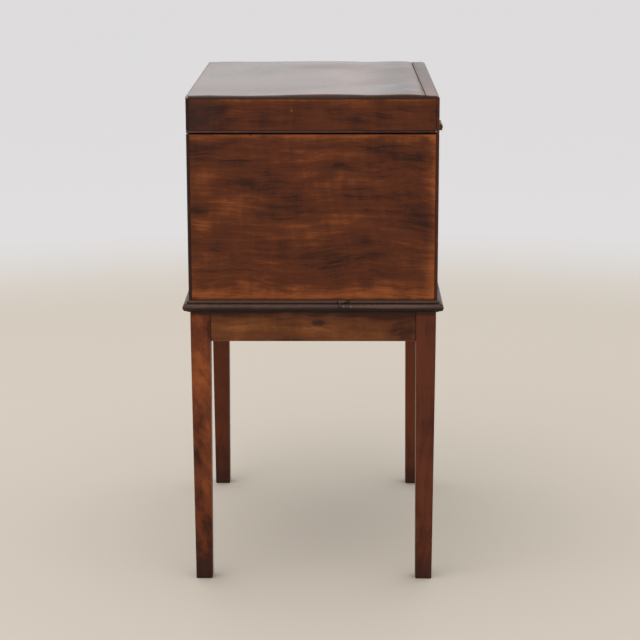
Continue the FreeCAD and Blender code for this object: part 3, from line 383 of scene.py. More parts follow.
# %% [markdown]
# ## A single mark
# An old piece has marks of its own: a plug, a bruise, a nail hole, a patch where the varnish has darkened.
# Each is a soft spot at a known place, and one group makes them all. Its size is a vector, so that a
# scratch is only a long thin spot. The material lends it one noise for all of its marks, which makes their
# outlines uneven.

# %% Build the mark group
SOFT_OUTSIDE = 0.6


def build_mark():
    inputs = {"Vector": "Vector", "Place": "Vector", "Size": "Vector", "Uneven": "Float",
              "Softness": "Float"}
    group, given, out = start_group("mark", inputs, {"Mask": "Float"}, Softness=0.5)
    offset = vectors(group, "SUBTRACT", given["Vector"], given["Place"])
    distance = vectors(group, "LENGTH", vectors(group, "DIVIDE", offset, given["Size"]))
    away = maths(group, "ADD", given["Uneven"], distance)
    inner = maths(group, "SUBTRACT", 1.0, given["Softness"])
    outer = maths(group, "ADD", 1.0, maths(group, "MULTIPLY", given["Softness"], SOFT_OUTSIDE))
    feed(out["Mask"], spread(group, away, inner, outer, 1.0, 0.0))
    return group


MARK = build_mark()
print("mark group:", len(MARK.nodes), "nodes")

# %% [markdown]
# ## Clouded varnish
# Old varnish is never even. Cloths and glasses have left it duller in some places, and a grey bloom lies
# where it has crazed. The group gives one soft mask. It dulls all the wood a little, and on the top it
# also greys the colour and thickens the coat. On metal it is the film of tarnish.

# %% Build the bloom group
BLOOM_EDGE = 0.16


def build_bloom():
    inputs = {"Vector": "Vector", "Patches": "Float", "Cover": "Float"}
    group, given, out = start_group("varnish bloom", inputs, {"Mask": "Float"}, Cover=0.5)
    sockets = {"Vector": given["Vector"], "Scale": given["Patches"], "Detail": 5.0, "Distortion": 0.6}
    broad = add(group, "TexNoise", sockets).outputs["Fac"]
    level = maths(group, "SUBTRACT", 1.0, given["Cover"])
    low = maths(group, "SUBTRACT", level, BLOOM_EDGE)
    feed(out["Mask"], spread(group, broad, low, maths(group, "ADD", level, BLOOM_EDGE)))
    return group


BLOOM = build_bloom()
print("bloom group:", len(BLOOM.nodes), "nodes")

# %% [markdown]
# ## One recipe for every board
# All the mahogany shares a recipe: figure, lightened or darkened in bands along the edges and in patches,
# then stains, then wear on the arrises and wax in the joints, and last the varnish. The boards differ in
# tone, in the direction of their grain and in how they have aged, so these are the recipe's arguments.
#
# A band or a joint is (strength, low corner, high corner, width). A patch is (strength, place, size), and
# a stain has its colour first. To turn the grain, the coordinate that runs along the board becomes X of
# the figure. Bands and patches add up to the figure's lift, and a noise feathers the patches.

# %% Turn the grain and lift the tone
AXES = {"x": ("X", "Y", "Z"), "y": ("Y", "Z", "X"), "z": ("Z", "X", "Y")}


def grain_point(tree, point, along, slant, fineness):
    parts = add(tree, "SeparateXYZ", {0: point}).outputs
    turned = add(tree, "CombineXYZ", {label: parts[axis] for label, axis in zip("XYZ", AXES[along])})
    return add(tree, "Mapping", {
        "Vector": turned.outputs[0], "Rotation": (0.0, slant, slant), "Scale": (fineness,) * 3}).outputs[0]


def lift_of(tree, point, lift, bands, patches, drift):
    """How much lighter or darker the wood is here, from its bands and patches."""
    for amount, low, high, width in bands:
        near = use_group(tree, ARRIS, {"Vector": point, "Low": low, "High": high, "Width": width,
                                       "Raggedness": 1.6, "Patches": 16.0})
        lift = maths(tree, "ADD", lift, maths(tree, "MULTIPLY", near["Mask"], amount))
    bent = bend(tree, point, 16.0, 7.0, (drift, drift, drift / 2))
    for amount, place, size in patches:
        spot = use_group(tree, MARK, {"Vector": bent, "Place": place, "Size": size, "Softness": 0.95})
        lift = maths(tree, "ADD", lift, maths(tree, "MULTIPLY", spot["Mask"], amount))
    return lift


print("grain runs along:", ", ".join(AXES))

# %% [markdown]
# Stains are laid over the figure one after another. Then the arrises are rubbed to the light wood and the
# joints filled with wax. Both take the varnish with them, so their masks are kept for the coat.

# %% Stain, rub and wax
def stained(tree, point, paint, stains):
    uneven = maths(tree, "MULTIPLY", centred(tree, point, 300.0, 3.0), 0.9)
    for tint, strength, place, size in stains:
        spot = use_group(tree, MARK, {"Vector": point, "Place": place, "Size": size, "Uneven": uneven})
        paint = mix(tree, maths(tree, "MULTIPLY", spot["Mask"], strength), paint, tint)
    return paint


def rubbed_and_waxed(tree, point, paint, box, light, wear, wear_width, joints):
    """The paint with its wear and wax, and the masks of where no varnish is left."""
    rim = use_group(tree, ARRIS, {"Vector": point, "Low": box[0], "High": box[1], "Width": wear_width})
    bare = [rim["Mask"]]
    paint = mix(tree, maths(tree, "MULTIPLY", bare[0], wear), paint, light)
    for strength, low, high, width in joints:
        gap = use_group(tree, ARRIS, {"Vector": point, "Low": low, "High": high, "Width": width,
                                      "Raggedness": 1.0})
        bare.append(maths(tree, "MULTIPLY", gap["Mask"], strength))
        paint = mix(tree, bare[-1], paint, WAX_AND_SHADE)
    return paint, bare


print("stain, wear and wax ready")

# %% [markdown]
# Most boards have lost their gloss. Only the top still has a coat of varnish that mirrors the room,
# thicker in some places than in others, and gone where the wood is bare. Clear varnish could be a layer of
# its own in the mesh, but the shader's coat gives the same mirror without a second surface.

# %% Write the recipe for wood
BLOOM_GREY = stain(122, 112, 108)
HAZE_DULLS = 0.10
COAT_ROUGHNESS = 0.22
PORE_DEPTH = 0.03
RIPPLE_HEIGHT = 1.2 * MM


def wood(name, along, seed, tones, box, slant=0.0, balance=0.0, cloud=1.0, streak=0.5, bands=(), patches=(),
         stains=(), wear=0.35, wear_width=1.2 * MM, joints=(), bloom=0.0, dullness=0.38, specular=0.16,
         coat=(0.0, 0.0), ripple=0.2, mottle=9.0, fineness=1.0, drift=80 * MM):
    """A finished board. tones are its dark, warm and light wood, and box its two corners."""
    material, tree, shader, point = new_material(name)
    dark, warm, light = [stain(*card) for card in tones]
    lift = lift_of(tree, point, balance, bands, patches, drift)
    figure = use_group(tree, FIGURE, {
        "Vector": grain_point(tree, point, along, slant, fineness), "Seed": seed, "Dark": dark,
        "Warm": warm, "Light": light, "Cloud": cloud, "Streak": streak, "Lift": lift})
    paint = stained(tree, point, figure["Colour"], stains)
    paint, bare = rubbed_and_waxed(tree, point, paint, box, light, wear, wear_width, joints)
    haze = use_group(tree, BLOOM, {"Vector": point, "Patches": mottle})["Mask"]
    if bloom:
        paint = mix(tree, maths(tree, "MULTIPLY", haze, bloom), paint, BLOOM_GREY)
    feed(shader["Base Color"], paint)
    feed(shader["Roughness"], spread(tree, haze, 0.0, 1.0, dullness, dullness + HAZE_DULLS))
    if any(coat):
        varnish = spread(tree, maths(tree, "ADD", haze, lift), 0.0, 1.0, *coat)
        for mask in bare:
            varnish = maths(tree, "MULTIPLY", varnish, maths(tree, "SUBTRACT", 1.0, mask))
        feed(shader["Coat Weight"], varnish)
        shader["Coat Roughness"].default_value = COAT_ROUGHNESS
    pores = maths(tree, "MULTIPLY", figure["Pores"], PORE_DEPTH)
    emboss(tree, shader, maths(tree, "SUBTRACT", speckle(tree, point, 14.0), pores), ripple, RIPPLE_HEIGHT)
    shader["Specular IOR Level"].default_value = specular
    return material


print("wood recipe ready")

# %% [markdown]
# ## Boards with eased arrises
# A saw and a plane leave arrises sharp enough to cut a hand, so a maker eases them, and use rounds them
# further. That thin rounding catches the light and tells the eye that the board is solid. A bevel modifier
# on the CAD solid would also round its screw holes and mortises. So each solid is copied, the flat faces
# are made whole again, and only the long outer arrises are bevelled. The copy stands for the solid and
# rides where it rides.

# %% Find the arrises of a solid
WELD = 0.002 * MM
FLAT = math.radians(0.4)
CORNER = math.radians(50.0)
SHORTEST_ARRIS = 12 * MM
NEARLY_PARALLEL = 0.999


def whole_faces(mesh):
    """A working copy of a triangulated solid, with its flat faces joined again."""
    work = bmesh.new()
    work.from_mesh(mesh)
    bmesh.ops.remove_doubles(work, verts=work.verts, dist=WELD)
    bmesh.ops.dissolve_limit(work, angle_limit=FLAT, verts=work.verts, edges=work.edges)
    return work


def is_arris(edge, axes):
    if len(edge.link_faces) != 2 or not edge.is_convex or edge.calc_length() < SHORTEST_ARRIS:
        return False
    run = edge.verts[1].co - edge.verts[0].co
    lies_along = any(abs(run["xyz".index(axis)]) > NEARLY_PARALLEL * run.length for axis in axes)
    return lies_along and edge.calc_face_angle() > CORNER


print("shortest arris that is eased:", SHORTEST_ARRIS, "m")

# %% [markdown]
# Every piece made in mesh code is shaded smooth over its small roundings and flat on its large faces.
# Smooth shading alone would make the large faces look blown up, so a modifier weights the normals by the
# faces' size.

# %% Finish a mesh and put it in its place
SHARP = math.radians(40.0)


def finish_mesh(piece, work):
    clean = bpy.data.meshes.new(piece)
    order = {vertex: index for index, vertex in enumerate(work.verts)}
    clean.from_pydata([vertex.co[:] for vertex in work.verts], [],
                      [[order[vertex] for vertex in face.verts] for face in work.faces])
    work.free()
    clean.shade_smooth()
    clean.set_sharp_from_angle(angle=SHARP)
    made = bpy.data.objects.new(piece, clean)
    bpy.context.scene.collection.objects.link(made)
    weighted = made.modifiers.new("face_weights", "WEIGHTED_NORMAL")
    weighted.keep_sharp = True
    return made


def stand_in(made, node, material):
    """Let the piece take the node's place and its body."""
    made.data.materials.append(material)
    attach(made, frame["nodes"][node]["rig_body"])
    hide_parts(node)
    return made


def eased(node, material, width, axes="xyz"):
    work = whole_faces(frame["nodes"][node].data)
    arrises = [edge for edge in work.edges if is_arris(edge, axes)]
    bmesh.ops.bevel(work, geom=arrises, offset=width, segments=3, profile=0.5, affect="EDGES",
                    clamp_overlap=True)
    return stand_in(finish_mesh(node + "_board", work), node, material)


print("easing tool ready")

# %% [markdown]
# ## The box
# The end boards are the show wood: broad boards with dark figure, left more orange along the top, the
# bottom and the back, where hands, the lid and the cleaning cloth have thinned the varnish. The front and
# back boards lap over them with a thin dark lip, and wax fills the fine groove between. Each band is given
# as a box that is larger than the board on the sides that it doesn't reach.
#
# Noise alone makes a likely board but not this one. So the right end also gets its own clouds, each placed
# in millimetres across the board and up from the floor, with its half width, its half height and
# how much lighter or darker it is.

# %% Place the clouds of the right end
END_CLOUDS = (
    (-122, 689, 46, 9, -0.09), (-146, 675, 30, 9, -0.06), (-111, 660, 35, 10, -0.08),
    (-105, 627, 40, 18, -0.11), (-170, 589, 18, 13, -0.11), (-56, 583, 50, 22, -0.11),
    (-33, 615, 18, 10, -0.02), (36, 646, 40, 12, -0.09), (97, 607, 56, 15, -0.07), (134, 581, 48, 19, -0.02),
    (138, 661, 44, 24, -0.04), (-148, 538, 18, 13, -0.07), (-41, 534, 28, 5, -0.03),
    (52, 551, 32, 13, -0.03), (52, 517, 52, 10, -0.03), (76, 481, 16, 9, -0.11), (101, 525, 38, 9, -0.06),
    (56, 687, 105, 9, -0.05), (-158, 643, 32, 13, 0.09), (-113, 599, 42, 17, 0.07), (56, 576, 46, 13, 0.10),
    (38, 631, 64, 9, 0.08), (-88, 494, 80, 16, 0.08), (-156, 518, 28, 12, 0.07), (-24, 558, 58, 10, 0.06),
    (44, 673, 52, 9, 0.06), (156, 535, 26, 28, 0.05), (-173, 564, 14, 13, 0.08),
)
LID_CLOUDS = (
    (-109, 732, 28, 9, 0.08), (-79, 748, 61, 7, 0.07), (99, 746, 79, 6, 0.07), (76, 736, 16, 8, 0.08),
    (36, 731, 20, 11, -0.05), (62, 725, 24, 9, -0.06), (4, 750, 24, 6, -0.04), (-56, 717, 40, 8, -0.04),
    (150, 724, 32, 14, 0.04), (-160, 735, 44, 30, -0.07), (-148, 722, 13, 8, 0.07),
    (-132, 741, 14, 9, -0.06), (-170, 746, 12, 7, 0.05), (-118, 718, 16, 8, -0.05),
)
BOLDNESS = 1.3
CLOUD_DEPTH = 50 * MM


def on_end(x, clouds):
    """Clouds on the face at x, as patches that reach well through it."""
    return [(amount * BOLDNESS, (x, y * MM, z * MM), (CLOUD_DEPTH, wide * MM, high * MM))
            for y, z, wide, high, amount in clouds]


print("clouds:", len(END_CLOUDS) + len(LID_CLOUDS))

# %% [markdown]
# The upright joints and the line where the board meets the frame are filled with dark wax, and a thin line
# of it lies in the joint under the lid. Below that line the lid has rubbed the wood paler. The front and
# back boards show their end grain at the lips, and end grain drinks stain, so a stain darkens the last few
# millimetres of each.

# %% Finish the box's boards
CASE = ((58, 30, 20), (97, 48, 25), (172, 94, 46))
END_GRAIN = stain(44, 30, 25)
FAR = 1.0
RIGHT_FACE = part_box("box_right")[1].x


def stretched(box, low, high):
    """The box moved outwards by these distances at its low and high corners."""
    return Vector(box[0]) - Vector(low), Vector(box[1]) + Vector(high)


def end_board(node, seed, patches=(), stains=()):
    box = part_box(node)
    top = stretched(box, (0, FAR, FAR), (0, FAR, 0))
    bottom = stretched(box, (0, FAR, 0), (0, FAR, FAR))
    back = stretched(box, (0, FAR, FAR), (0, 0, FAR))
    uprights = stretched(box, (0, 0, FAR), (0, 0, FAR))
    material = wood(
        node, "y", seed, CASE, box, cloud=0.45, streak=0.5, patches=patches, stains=stains, wear=0.4,
        wear_width=1.6 * MM, bands=((0.20, *top, 16 * MM), (0.27, *bottom, 40 * MM), (0.20, *back, 20 * MM)),
        joints=((0.95, *uprights, 1.7 * MM), (0.75, *bottom, 5.5 * MM), (0.9, *top, 1.0 * MM)))
    return eased(node, material, 0.5 * MM)


def long_board(node, seed, lip, wear):
    """A front or back board. lip is how dark the end grain is that shows beside the end board."""
    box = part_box(node)
    middle = (box[0] + box[1]) / 2
    lips = [(END_GRAIN, lip, (x, middle.y, middle.z), (5 * MM, FAR, FAR)) for x in (box[0].x, box[1].x)]
    material = wood(node, "x", seed, CASE, box, cloud=0.6, streak=0.4, balance=0.05, wear=wear,
                    wear_width=1.6 * MM, stains=lips)
    return eased(node, material, 0.6 * MM)


nick = (WAX_AND_SHADE, 0.9, (RIGHT_FACE, -92.6 * MM, 702.2 * MM), (4 * MM, 2.2 * MM, 1.6 * MM))
box_boards = [
    end_board("box_right", 4.0, on_end(RIGHT_FACE, END_CLOUDS), (nick,)),
    end_board("box_left", 7.3),
    long_board("box_front", 11.2, lip=0.85, wear=0.1),
    long_board("box_back", 15.9, lip=0.5, wear=0.2),
]
print("box boards:", [board.name for board in box_boards])

# %% [markdown]
# ## The lid's walls
# The lid was sawn from the same boards as the box, so it shares their tones, but its end is a little
# darker towards the front, where it is gripped. A small pale plug sits near the middle of the right end.

# %% Finish the lid's walls
def lid_end(node, seed, patches=(), stains=()):
    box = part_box(node)
    top = stretched(box, (0, FAR, FAR), (0, FAR, 0))
    uprights = stretched(box, (0, 0, FAR), (0, 0, FAR))
    material = wood(
        node, "y", seed, CASE, box, balance=-0.09, cloud=0.4, streak=0.4, patches=patches, stains=stains,
        wear=0.2, bands=((0.22, *top, 12 * MM),),
        joints=((0.9, *uprights, 1.5 * MM), (1.0, *top, 2.2 * MM)))
    return eased(node, material, 0.4 * MM)


plug = (stain(170, 130, 100), 0.55, (RIGHT_FACE, -31.2 * MM, 738.5 * MM), (4 * MM, 1.3 * MM, 1.2 * MM))
grip = (stain(66, 44, 38), 0.45, (RIGHT_FACE, -172 * MM, 733 * MM), (40 * MM, 40 * MM, 45 * MM))
lid_walls = [
    lid_end("lid_right", 21.0, on_end(RIGHT_FACE, LID_CLOUDS), (grip, plug)),
    lid_end("lid_left", 24.5),
    long_board("lid_front", 27.1, lip=0.85, wear=0.1),
    long_board("lid_back", 31.8, lip=0.4, wear=0.15),
]
print("lid walls:", [board.name for board in lid_walls])

# %% [markdown]
# ## The bowed top
# The top is a thin board with a rounded nose, and it has moved: its edge dips and rises by a millimetre or
# two, which shows because the eye looks along it. A displace modifier would need many faces and would bend
# the underside too. Here the board is a grid whose rows follow the nose down at the sides, and each upper
# point is lowered by a given curve. A narrow strip along the back has parted from the board and left an
# open joint.
#
# The grid's stations run round a quarter of an oval at each nose and are evenly spaced between the noses.

# %% Lay out the stations of a board
NOSE_STEPS = 6
GRID_STEP = 12 * MM


def nose(inset, drop, thickness):
    """Stations of a rounded side as (way in, way down), from the bottom up to the flat."""
    stations = [(0.0, thickness)]
    for step in range(NOSE_STEPS + 1):
        angle = math.pi / 2 * step / NOSE_STEPS
        stations.append((inset * (1 - math.cos(angle)), drop * (1 - math.sin(angle))))
    return stations


def across(low, high, low_side, high_side):
    """All stations from the low side to the high side as (position, way down)."""
    left = [(low + inset, drop) for inset, drop in low_side]
    right = [(high - inset, drop) for inset, drop in reversed(high_side)]
    first, last = left[-1][0], right[0][0]
    count = max(2, round((last - first) / GRID_STEP))
    middle = [(first + (last - first) * step / count, 0.0) for step in range(1, count)]
    return left + middle + right


print("steps round a nose:", NOSE_STEPS)

# %% [markdown]
# The grid is then filled with faces, and its lowest rows are joined by one face underneath. Points at the
# bottom aren't lowered, so the underside stays flat on the walls of the lid.

# %% Make a board with a rounded nose
TOUCHING = 0.005 * MM
THINNEST = 0.3 * MM
ROUNDING_ERROR = 0.001 * MM


def no_skew(x, y):
    return 0.0


def nosed_board(piece, box, sides, dip, skew=no_skew):
    """A board whose upper face sinks by dip(x, y), and whose points move across it by skew(x, y). sides are
    its noses at low x, high x, low y and high y."""
    low, high = box
    columns = across(low.x, high.x, sides[0], sides[1])
    rows = across(low.y, high.y, sides[2], sides[3])
    work = bmesh.new()
    grid = []
    for x, drop_x in columns:
        line = []
        for y, drop_y in rows:
            drop = max(drop_x, drop_y)
            at_bottom = drop > high.z - low.z - ROUNDING_ERROR
            z = low.z if at_bottom else max(low.z + THINNEST, high.z - drop - dip(x, y))
            line.append(work.verts.new((x, y + skew(x, y), z)))
        grid.append(line)
    for line, next_line in zip(grid, grid[1:]):
        for index in range(len(line) - 1):
            work.faces.new((line[index], next_line[index], next_line[index + 1], line[index + 1]))
    bmesh.ops.remove_doubles(work, verts=work.verts, dist=TOUCHING)
    bmesh.ops.dissolve_degenerate(work, dist=TOUCHING, edges=work.edges)
    bmesh.ops.holes_fill(work, edges=[edge for edge in work.edges if edge.is_boundary], sides=0)
    bmesh.ops.recalc_face_normals(work, faces=work.faces)
    return finish_mesh(piece, work)


print("nosed board tool ready")

# %% [markdown]
# The board has sunk in a broad hollow towards the front and in narrow ones towards the back and at both
# edges. The crown between them keeps nearly its full height. The open joint isn't quite square to the ends
# either, so the two sides of it are skewed together.

# %% Bow the top
HOLLOWS = (
    # middle and half width across the board, depth at the right end and at the left end, in millimetres
    (-104, 75, 2.3, 1.0),
    (90, 34, 1.3, 1.6),
    (172, 20, 0.8, 1.4),
    (-185, 22, 1.2, 1.2),
    (189, 26, 2.0, 0.6),
)
TREMOR = 0.2 * MM
LEAST_DIP = 0.12 * MM
SKEW = 1.7 * MM
SKEW_REACH = 18 * MM
top_low, top_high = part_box("lid_top")
strip_low, strip_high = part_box("lid_top_strip")


def top_dip(x, y):
    share = (x - top_low.x) / (top_high.x - top_low.x)
    total = 0.0
    for middle, half_width, right_depth, left_depth in HOLLOWS:
        depth = left_depth + (right_depth - left_depth) * share
        total += depth * MM * math.exp(-((y / MM - middle) / half_width) ** 2)
    tremor = TREMOR * noise.noise(Vector((x * 9.0, y * 14.0, 3.0)))
    return max(0.0, total + tremor + LEAST_DIP)


def joint_skew(x, y):
    nearness = max(0.0, 1.0 - abs(y - top_high.y) / SKEW_REACH)
    return SKEW * x / top_high.x * nearness


thickness = top_high.z - top_low.z
end_nose = nose(2.2 * MM, 3.4 * MM, thickness)
front_nose = nose(2.4 * MM, 4.2 * MM, thickness)
back_nose = nose(7.0 * MM, 6.0 * MM, thickness)
square_side = nose(0.4 * MM, 0.4 * MM, thickness)
top_board = nosed_board("lid_top_board", (top_low, top_high), (end_nose, end_nose, front_nose, square_side),
                        top_dip, joint_skew)
top_strip = nosed_board("lid_top_strip_board", (strip_low, strip_high),
                        (end_nose, end_nose, square_side, back_nose), top_dip, joint_skew)
print("top faces:", len(top_board.data.polygons), "strip faces:", len(top_strip.data.polygons))

# %% [markdown]
# The top's varnish still shines, but in clouds: duller in three places and clearer in the middle. Its
# noses at the ends are rubbed brown, with a black line along their foot. One corner has a pale chip, and
# wax has filled the end of the open joint.

# %% Finish the top and its strip
TOP_TONES = ((58, 31, 22), (92, 50, 32), (122, 70, 45))
TOP_CLOUDS = (
    # strength, middle along and across the top, half length and half width, in millimetres
    (-0.28, 170, 125, 120, 32),
    (-0.20, -120, 150, 150, 22),
    (-0.16, -100, -90, 100, 35),
    (0.24, 50, 55, 250, 60),
)
NOSE_STAINS = ((stain(66, 40, 31), 0.8, FAR), (WAX_AND_SHADE, 0.95, 3.4 * MM))
chips = [(stain(214, 208, 198), 0.9, (RIGHT_FACE, -186.8 * MM, 758.6 * MM), (4 * MM, 1.5 * MM, 1.5 * MM)),
         (WAX_AND_SHADE, 0.95, (RIGHT_FACE - 0.3 * MM, 165.2 * MM, 757.8 * MM), (4 * MM, 2.6 * MM, 2.2 * MM))]
top_clouds = [(amount, (x * MM, y * MM, top_high.z), (half_length * MM, half_width * MM, FAR))
              for amount, x, y, half_length, half_width in TOP_CLOUDS]


def top_finish(node, seed, joint, coat):
    low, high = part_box(node)
    under = stretched((low, high), (FAR, FAR, 0), (FAR, FAR, FAR))
    noses = [(tint, strength, (x, 0.0, low.z), (4 * MM, FAR, half_height)) for x in (low.x, high.x)
             for tint, strength, half_height in NOSE_STAINS]
    return wood(
        node, "x", seed, TOP_TONES, (low, high), patches=top_clouds, stains=noses + chips, bloom=0.1,
        dullness=0.30, specular=0.22, coat=coat, ripple=0.04, mottle=3.0, wear=0.25, wear_width=5 * MM,
        joints=((0.95, *joint, 2.6 * MM), (0.9, *under, 2.0 * MM)))


top_joint = stretched((top_low, top_high), (FAR, FAR, FAR), (FAR, SKEW / 2, 0))
strip_joint = stretched((strip_low, strip_high), (FAR, SKEW / 2, FAR), (FAR, FAR, 0))
stand_in(top_board, "lid_top", top_finish("lid_top", 41.0, top_joint, coat=(0.45, 1.0)))
stand_in(top_strip, "lid_top_strip", top_finish("lid_top_strip", 47.0, strip_joint, coat=(0.2, 0.5)))
print("coated boards:", [top_board.name, top_strip.name])

# %% [markdown]
# ## The bead and the moulded frame
# The moulded edge of the stand was stained nearly black, and the small bead under the lid a dark brown. On
# a dark moulding the light is painted on: a pale greyish stripe along the ledge, partly wear and partly
# painted highlight, a painted highlight along the fullest part of the round, and painted shade, black, in
# the quirk and under the cove. These are long level stripes, so each is a stain that reaches past both ends
# of the board. Only the arrises that run with the moulding are eased: a mitre is a tight joint and stays
# sharp.

# %% Write the moulding's finish
EBONISED = ((22, 15, 13), (54, 36, 29), (136, 100, 82))
RUBBED_AND_HIGHLIGHT = stain(134, 100, 84)
FULLEST = 8.0
# Painted light: the ledge's pale stripe is partly wear and partly painted highlight, the fullest part of the
# round gets a painted highlight, and the quirk gets painted shade.
STRIPES = (
    # tint, strength, depth below the ledge and half height, in millimetres
    (RUBBED_AND_HIGHLIGHT, 0.45, 2.0, 2.2),
    (WAX_AND_SHADE, 0.6, 4.3, 0.9),
    (RUBBED_AND_HIGHLIGHT, 0.28, FULLEST, 2.5),
)
RUNS = {"front": "x", "right": "y", "back": "x", "left": "y"}


def frame_board(side, seed, stains=()):
    node = "stand_frame_" + side
    low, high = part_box(node)
    stripes = [(tint, strength, (0.0, 0.0, high.z - depth * MM), (FAR, FAR, half * MM))
               for tint, strength, depth, half in STRIPES]
    # Painted shade, in the wax black, under the round and the cove.
    stripes.append((WAX_AND_SHADE, 0.8, (0.0, 0.0, low.z), (FAR, FAR, 7.5 * MM)))
    material = wood(node, RUNS[side], seed, EBONISED, (low, high), cloud=0.3, streak=0.3,
                    stains=[*stripes, *stains], wear=0.45, wear_width=1.6 * MM, dullness=0.36, specular=0.22)
    return eased(node, material, 0.8 * MM, axes=RUNS[side])


print("stripes along the moulding:", len(STRIPES) + 1)

# %% [markdown]
# A patch of the right side was once split and mended, and still shows as small dents and chips, whose rims
# are a little wider and taller than their hollows. The back half is handled most, so the round is paler
# there.

# %% Finish the frame and the bead
DENTS = (
    # dark dents, then pale chips: along the side, up from the floor, half width, half height, in millimetres
    (WAX_AND_SHADE, ((53.5, 448.6, 2.4, 2.4), (49.3, 446.0, 2.2, 1.4), (37.4, 446.4, 1.0, 2.6),
           (39.4, 439.6, 1.7, 3.0), (43.9, 439.8, 1.0, 2.6), (36.9, 435.2, 1.7, 1.7),
           (47.8, 436.8, 1.4, 3.4), (54.5, 437.5, 1.6, 3.0))),
    (stain(124, 98, 88), ((40.4, 447.8, 1.0, 1.8), (45.9, 448.6, 1.0, 1.2), (46.4, 441.6, 1.1, 1.8),
                          (57.0, 441.3, 1.2, 1.6))),
)
RIM_WIDER = 1.35
RIM_TALLER = 1.25
BEAD_TONES = ((52, 28, 22), (84, 50, 40), (116, 80, 68))
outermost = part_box("stand_frame_right")[1]
under_surface = outermost.x - 2.65 * MM
mended = [(tint, 0.95, (under_surface, y * MM, z * MM),
           (8 * MM, RIM_WIDER * wide * MM, RIM_TALLER * high * MM))
          for tint, spots in DENTS for y, z, wide, high in spots]
handled = (RUBBED_AND_HIGHLIGHT, 0.35, (under_surface, 118 * MM, outermost.z - FULLEST * MM), (FAR, 65 * MM, 2.6 * MM))
mouldings = [frame_board("right", 52.0, [*mended, handled]), frame_board("front", 55.0),
             frame_board("back", 58.0), frame_board("left", 61.0)]

speck = (stain(196, 190, 178), 0.9, (RIGHT_FACE, 185.2 * MM, 707.2 * MM), (4 * MM, 1.4 * MM, 1.2 * MM))
for number, side in enumerate(("front", "left", "right")):
    node = "lid_bead_" + side
    bead = frame["nodes"][node]
    bead.data.materials.clear()
    bead.data.materials.append(wood(node, RUNS[side], 64.0 + number, BEAD_TONES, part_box(node), wear=0.1,
                                    dullness=0.40, specular=0.25, stains=(speck,)))
print("mouldings:", [board.name for board in mouldings])

# %% [markdown]
# ## The legs
# Each leg is a square post that tapers on all four faces below the rails. It is built from square rings
# with rounded corners, stacked from the floor to the frame, because the rounding isn't even: the arris is
# worn most at the foot, where brooms and shoes meet it, and least under the rail. A bevel would give the
# same width everywhere.

# %% Lay out the rings of a leg
CORNER_STEPS = 3
FACE_STEPS = 4
RING_SPACING = 25 * MM
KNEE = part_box("rail_front")[0].z
FOOT_HALF = 12.7 * MM
FOOT_ROUNDING = 1.5 * MM
LOST_BY_KNEE = 0.9 * MM


def square_ring(half, rounding):
    """Points round a square with rounded corners, anticlockwise."""
    points = []
    flat = half - rounding
    for quarter in range(4):
        turn = Matrix.Rotation(math.pi / 2 * quarter, 2)
        for step in range(CORNER_STEPS + 1):
            angle = math.pi / 2 * step / CORNER_STEPS
            way = Vector((flat + rounding * math.cos(angle), flat + rounding * math.sin(angle)))
            points.append(turn @ way)
        for step in range(1, FACE_STEPS):
            points.append(turn @ Vector((flat - 2 * flat * step / FACE_STEPS, half)))
    return points


def leg_levels(height, top_half):
    """Heights up the leg with the half width and the rounding there."""
    levels = [(0.0, FOOT_HALF - 1.1 * MM, 1.4 * MM), (0.5 * MM, FOOT_HALF - 0.4 * MM, 1.6 * MM),
              (1.6 * MM, FOOT_HALF, 1.6 * MM)]
    count = round(KNEE / RING_SPACING)
    for step in range(1, count + 1):
        share = step / count
        half = FOOT_HALF + (top_half - FOOT_HALF) * share
        levels.append((KNEE * share, half, FOOT_ROUNDING - LOST_BY_KNEE * share))
    levels.append((height, top_half, FOOT_ROUNDING - LOST_BY_KNEE))
    return levels


print("legs taper below", round(KNEE, 4), "m")

# %% [markdown]
# Faces with four corners join each ring to the next, and the foot and the head are closed by one face
# each. Every ring has the same number of points and starts at the same corner, so no face is twisted.

# %% Make a leg from its rings
def make_leg(node, material):
    low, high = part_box(node)
    middle = (low + high) / 2
    work = bmesh.new()
    rings = []
    for z, half, rounding in leg_levels(high.z, (high.x - low.x) / 2):
        ring = square_ring(half, rounding)
        rings.append([work.verts.new((middle.x + way.x, middle.y + way.y, z)) for way in ring])
    for lower, upper in zip(rings, rings[1:]):
        for index in range(len(lower)):
            following = (index + 1) % len(lower)
            work.faces.new((lower[index], lower[following], upper[following], upper[index]))
    work.faces.new(list(reversed(rings[0])))
    work.faces.new(rings[-1])
    return stand_in(finish_mesh(node + "_post", work), node, material)


print("points in a ring:", len(square_ring(FOOT_HALF, 1.0 * MM)))

# %% [markdown]
# The four legs came from different planks. The front right leg is orange with slanting dark figure, and
# the other three are browner and plainer. All of them darken towards the floor, where dirty water reached
# them, and painted shade darkens them just under the moulding.

# %% Finish the legs
LEG_TONES = {
    "front_right": ((72, 35, 21), (113, 56, 31), (164, 88, 44)),
    "back_right": ((80, 39, 25), (107, 54, 33), (130, 68, 38)),
    "front_left": ((76, 40, 26), (104, 52, 32), (126, 66, 38)),
    "back_left": ((90, 45, 28), (118, 61, 36), (138, 74, 42)),
}
LEG_CLOUDS = (
    (-172, 350, 18, 52, 0.15), (-177, 258, 6, 24, -0.12), (-178, 199, 8, 25, -0.17),
    (-176, 138, 9, 20, -0.14), (-171, 88, 9, 16, -0.12), (-163, 236, 6, 24, 0.10), (-166, 158, 7, 14, 0.12),
    (-176, 419, 13, 13, 0.19), (-173, 384, 14, 14, -0.08), (-158, 402, 4, 34, -0.20),
)
FOOT_DIRT = stain(50, 34, 30)
FRAME_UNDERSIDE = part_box("stand_frame_right")[0].z


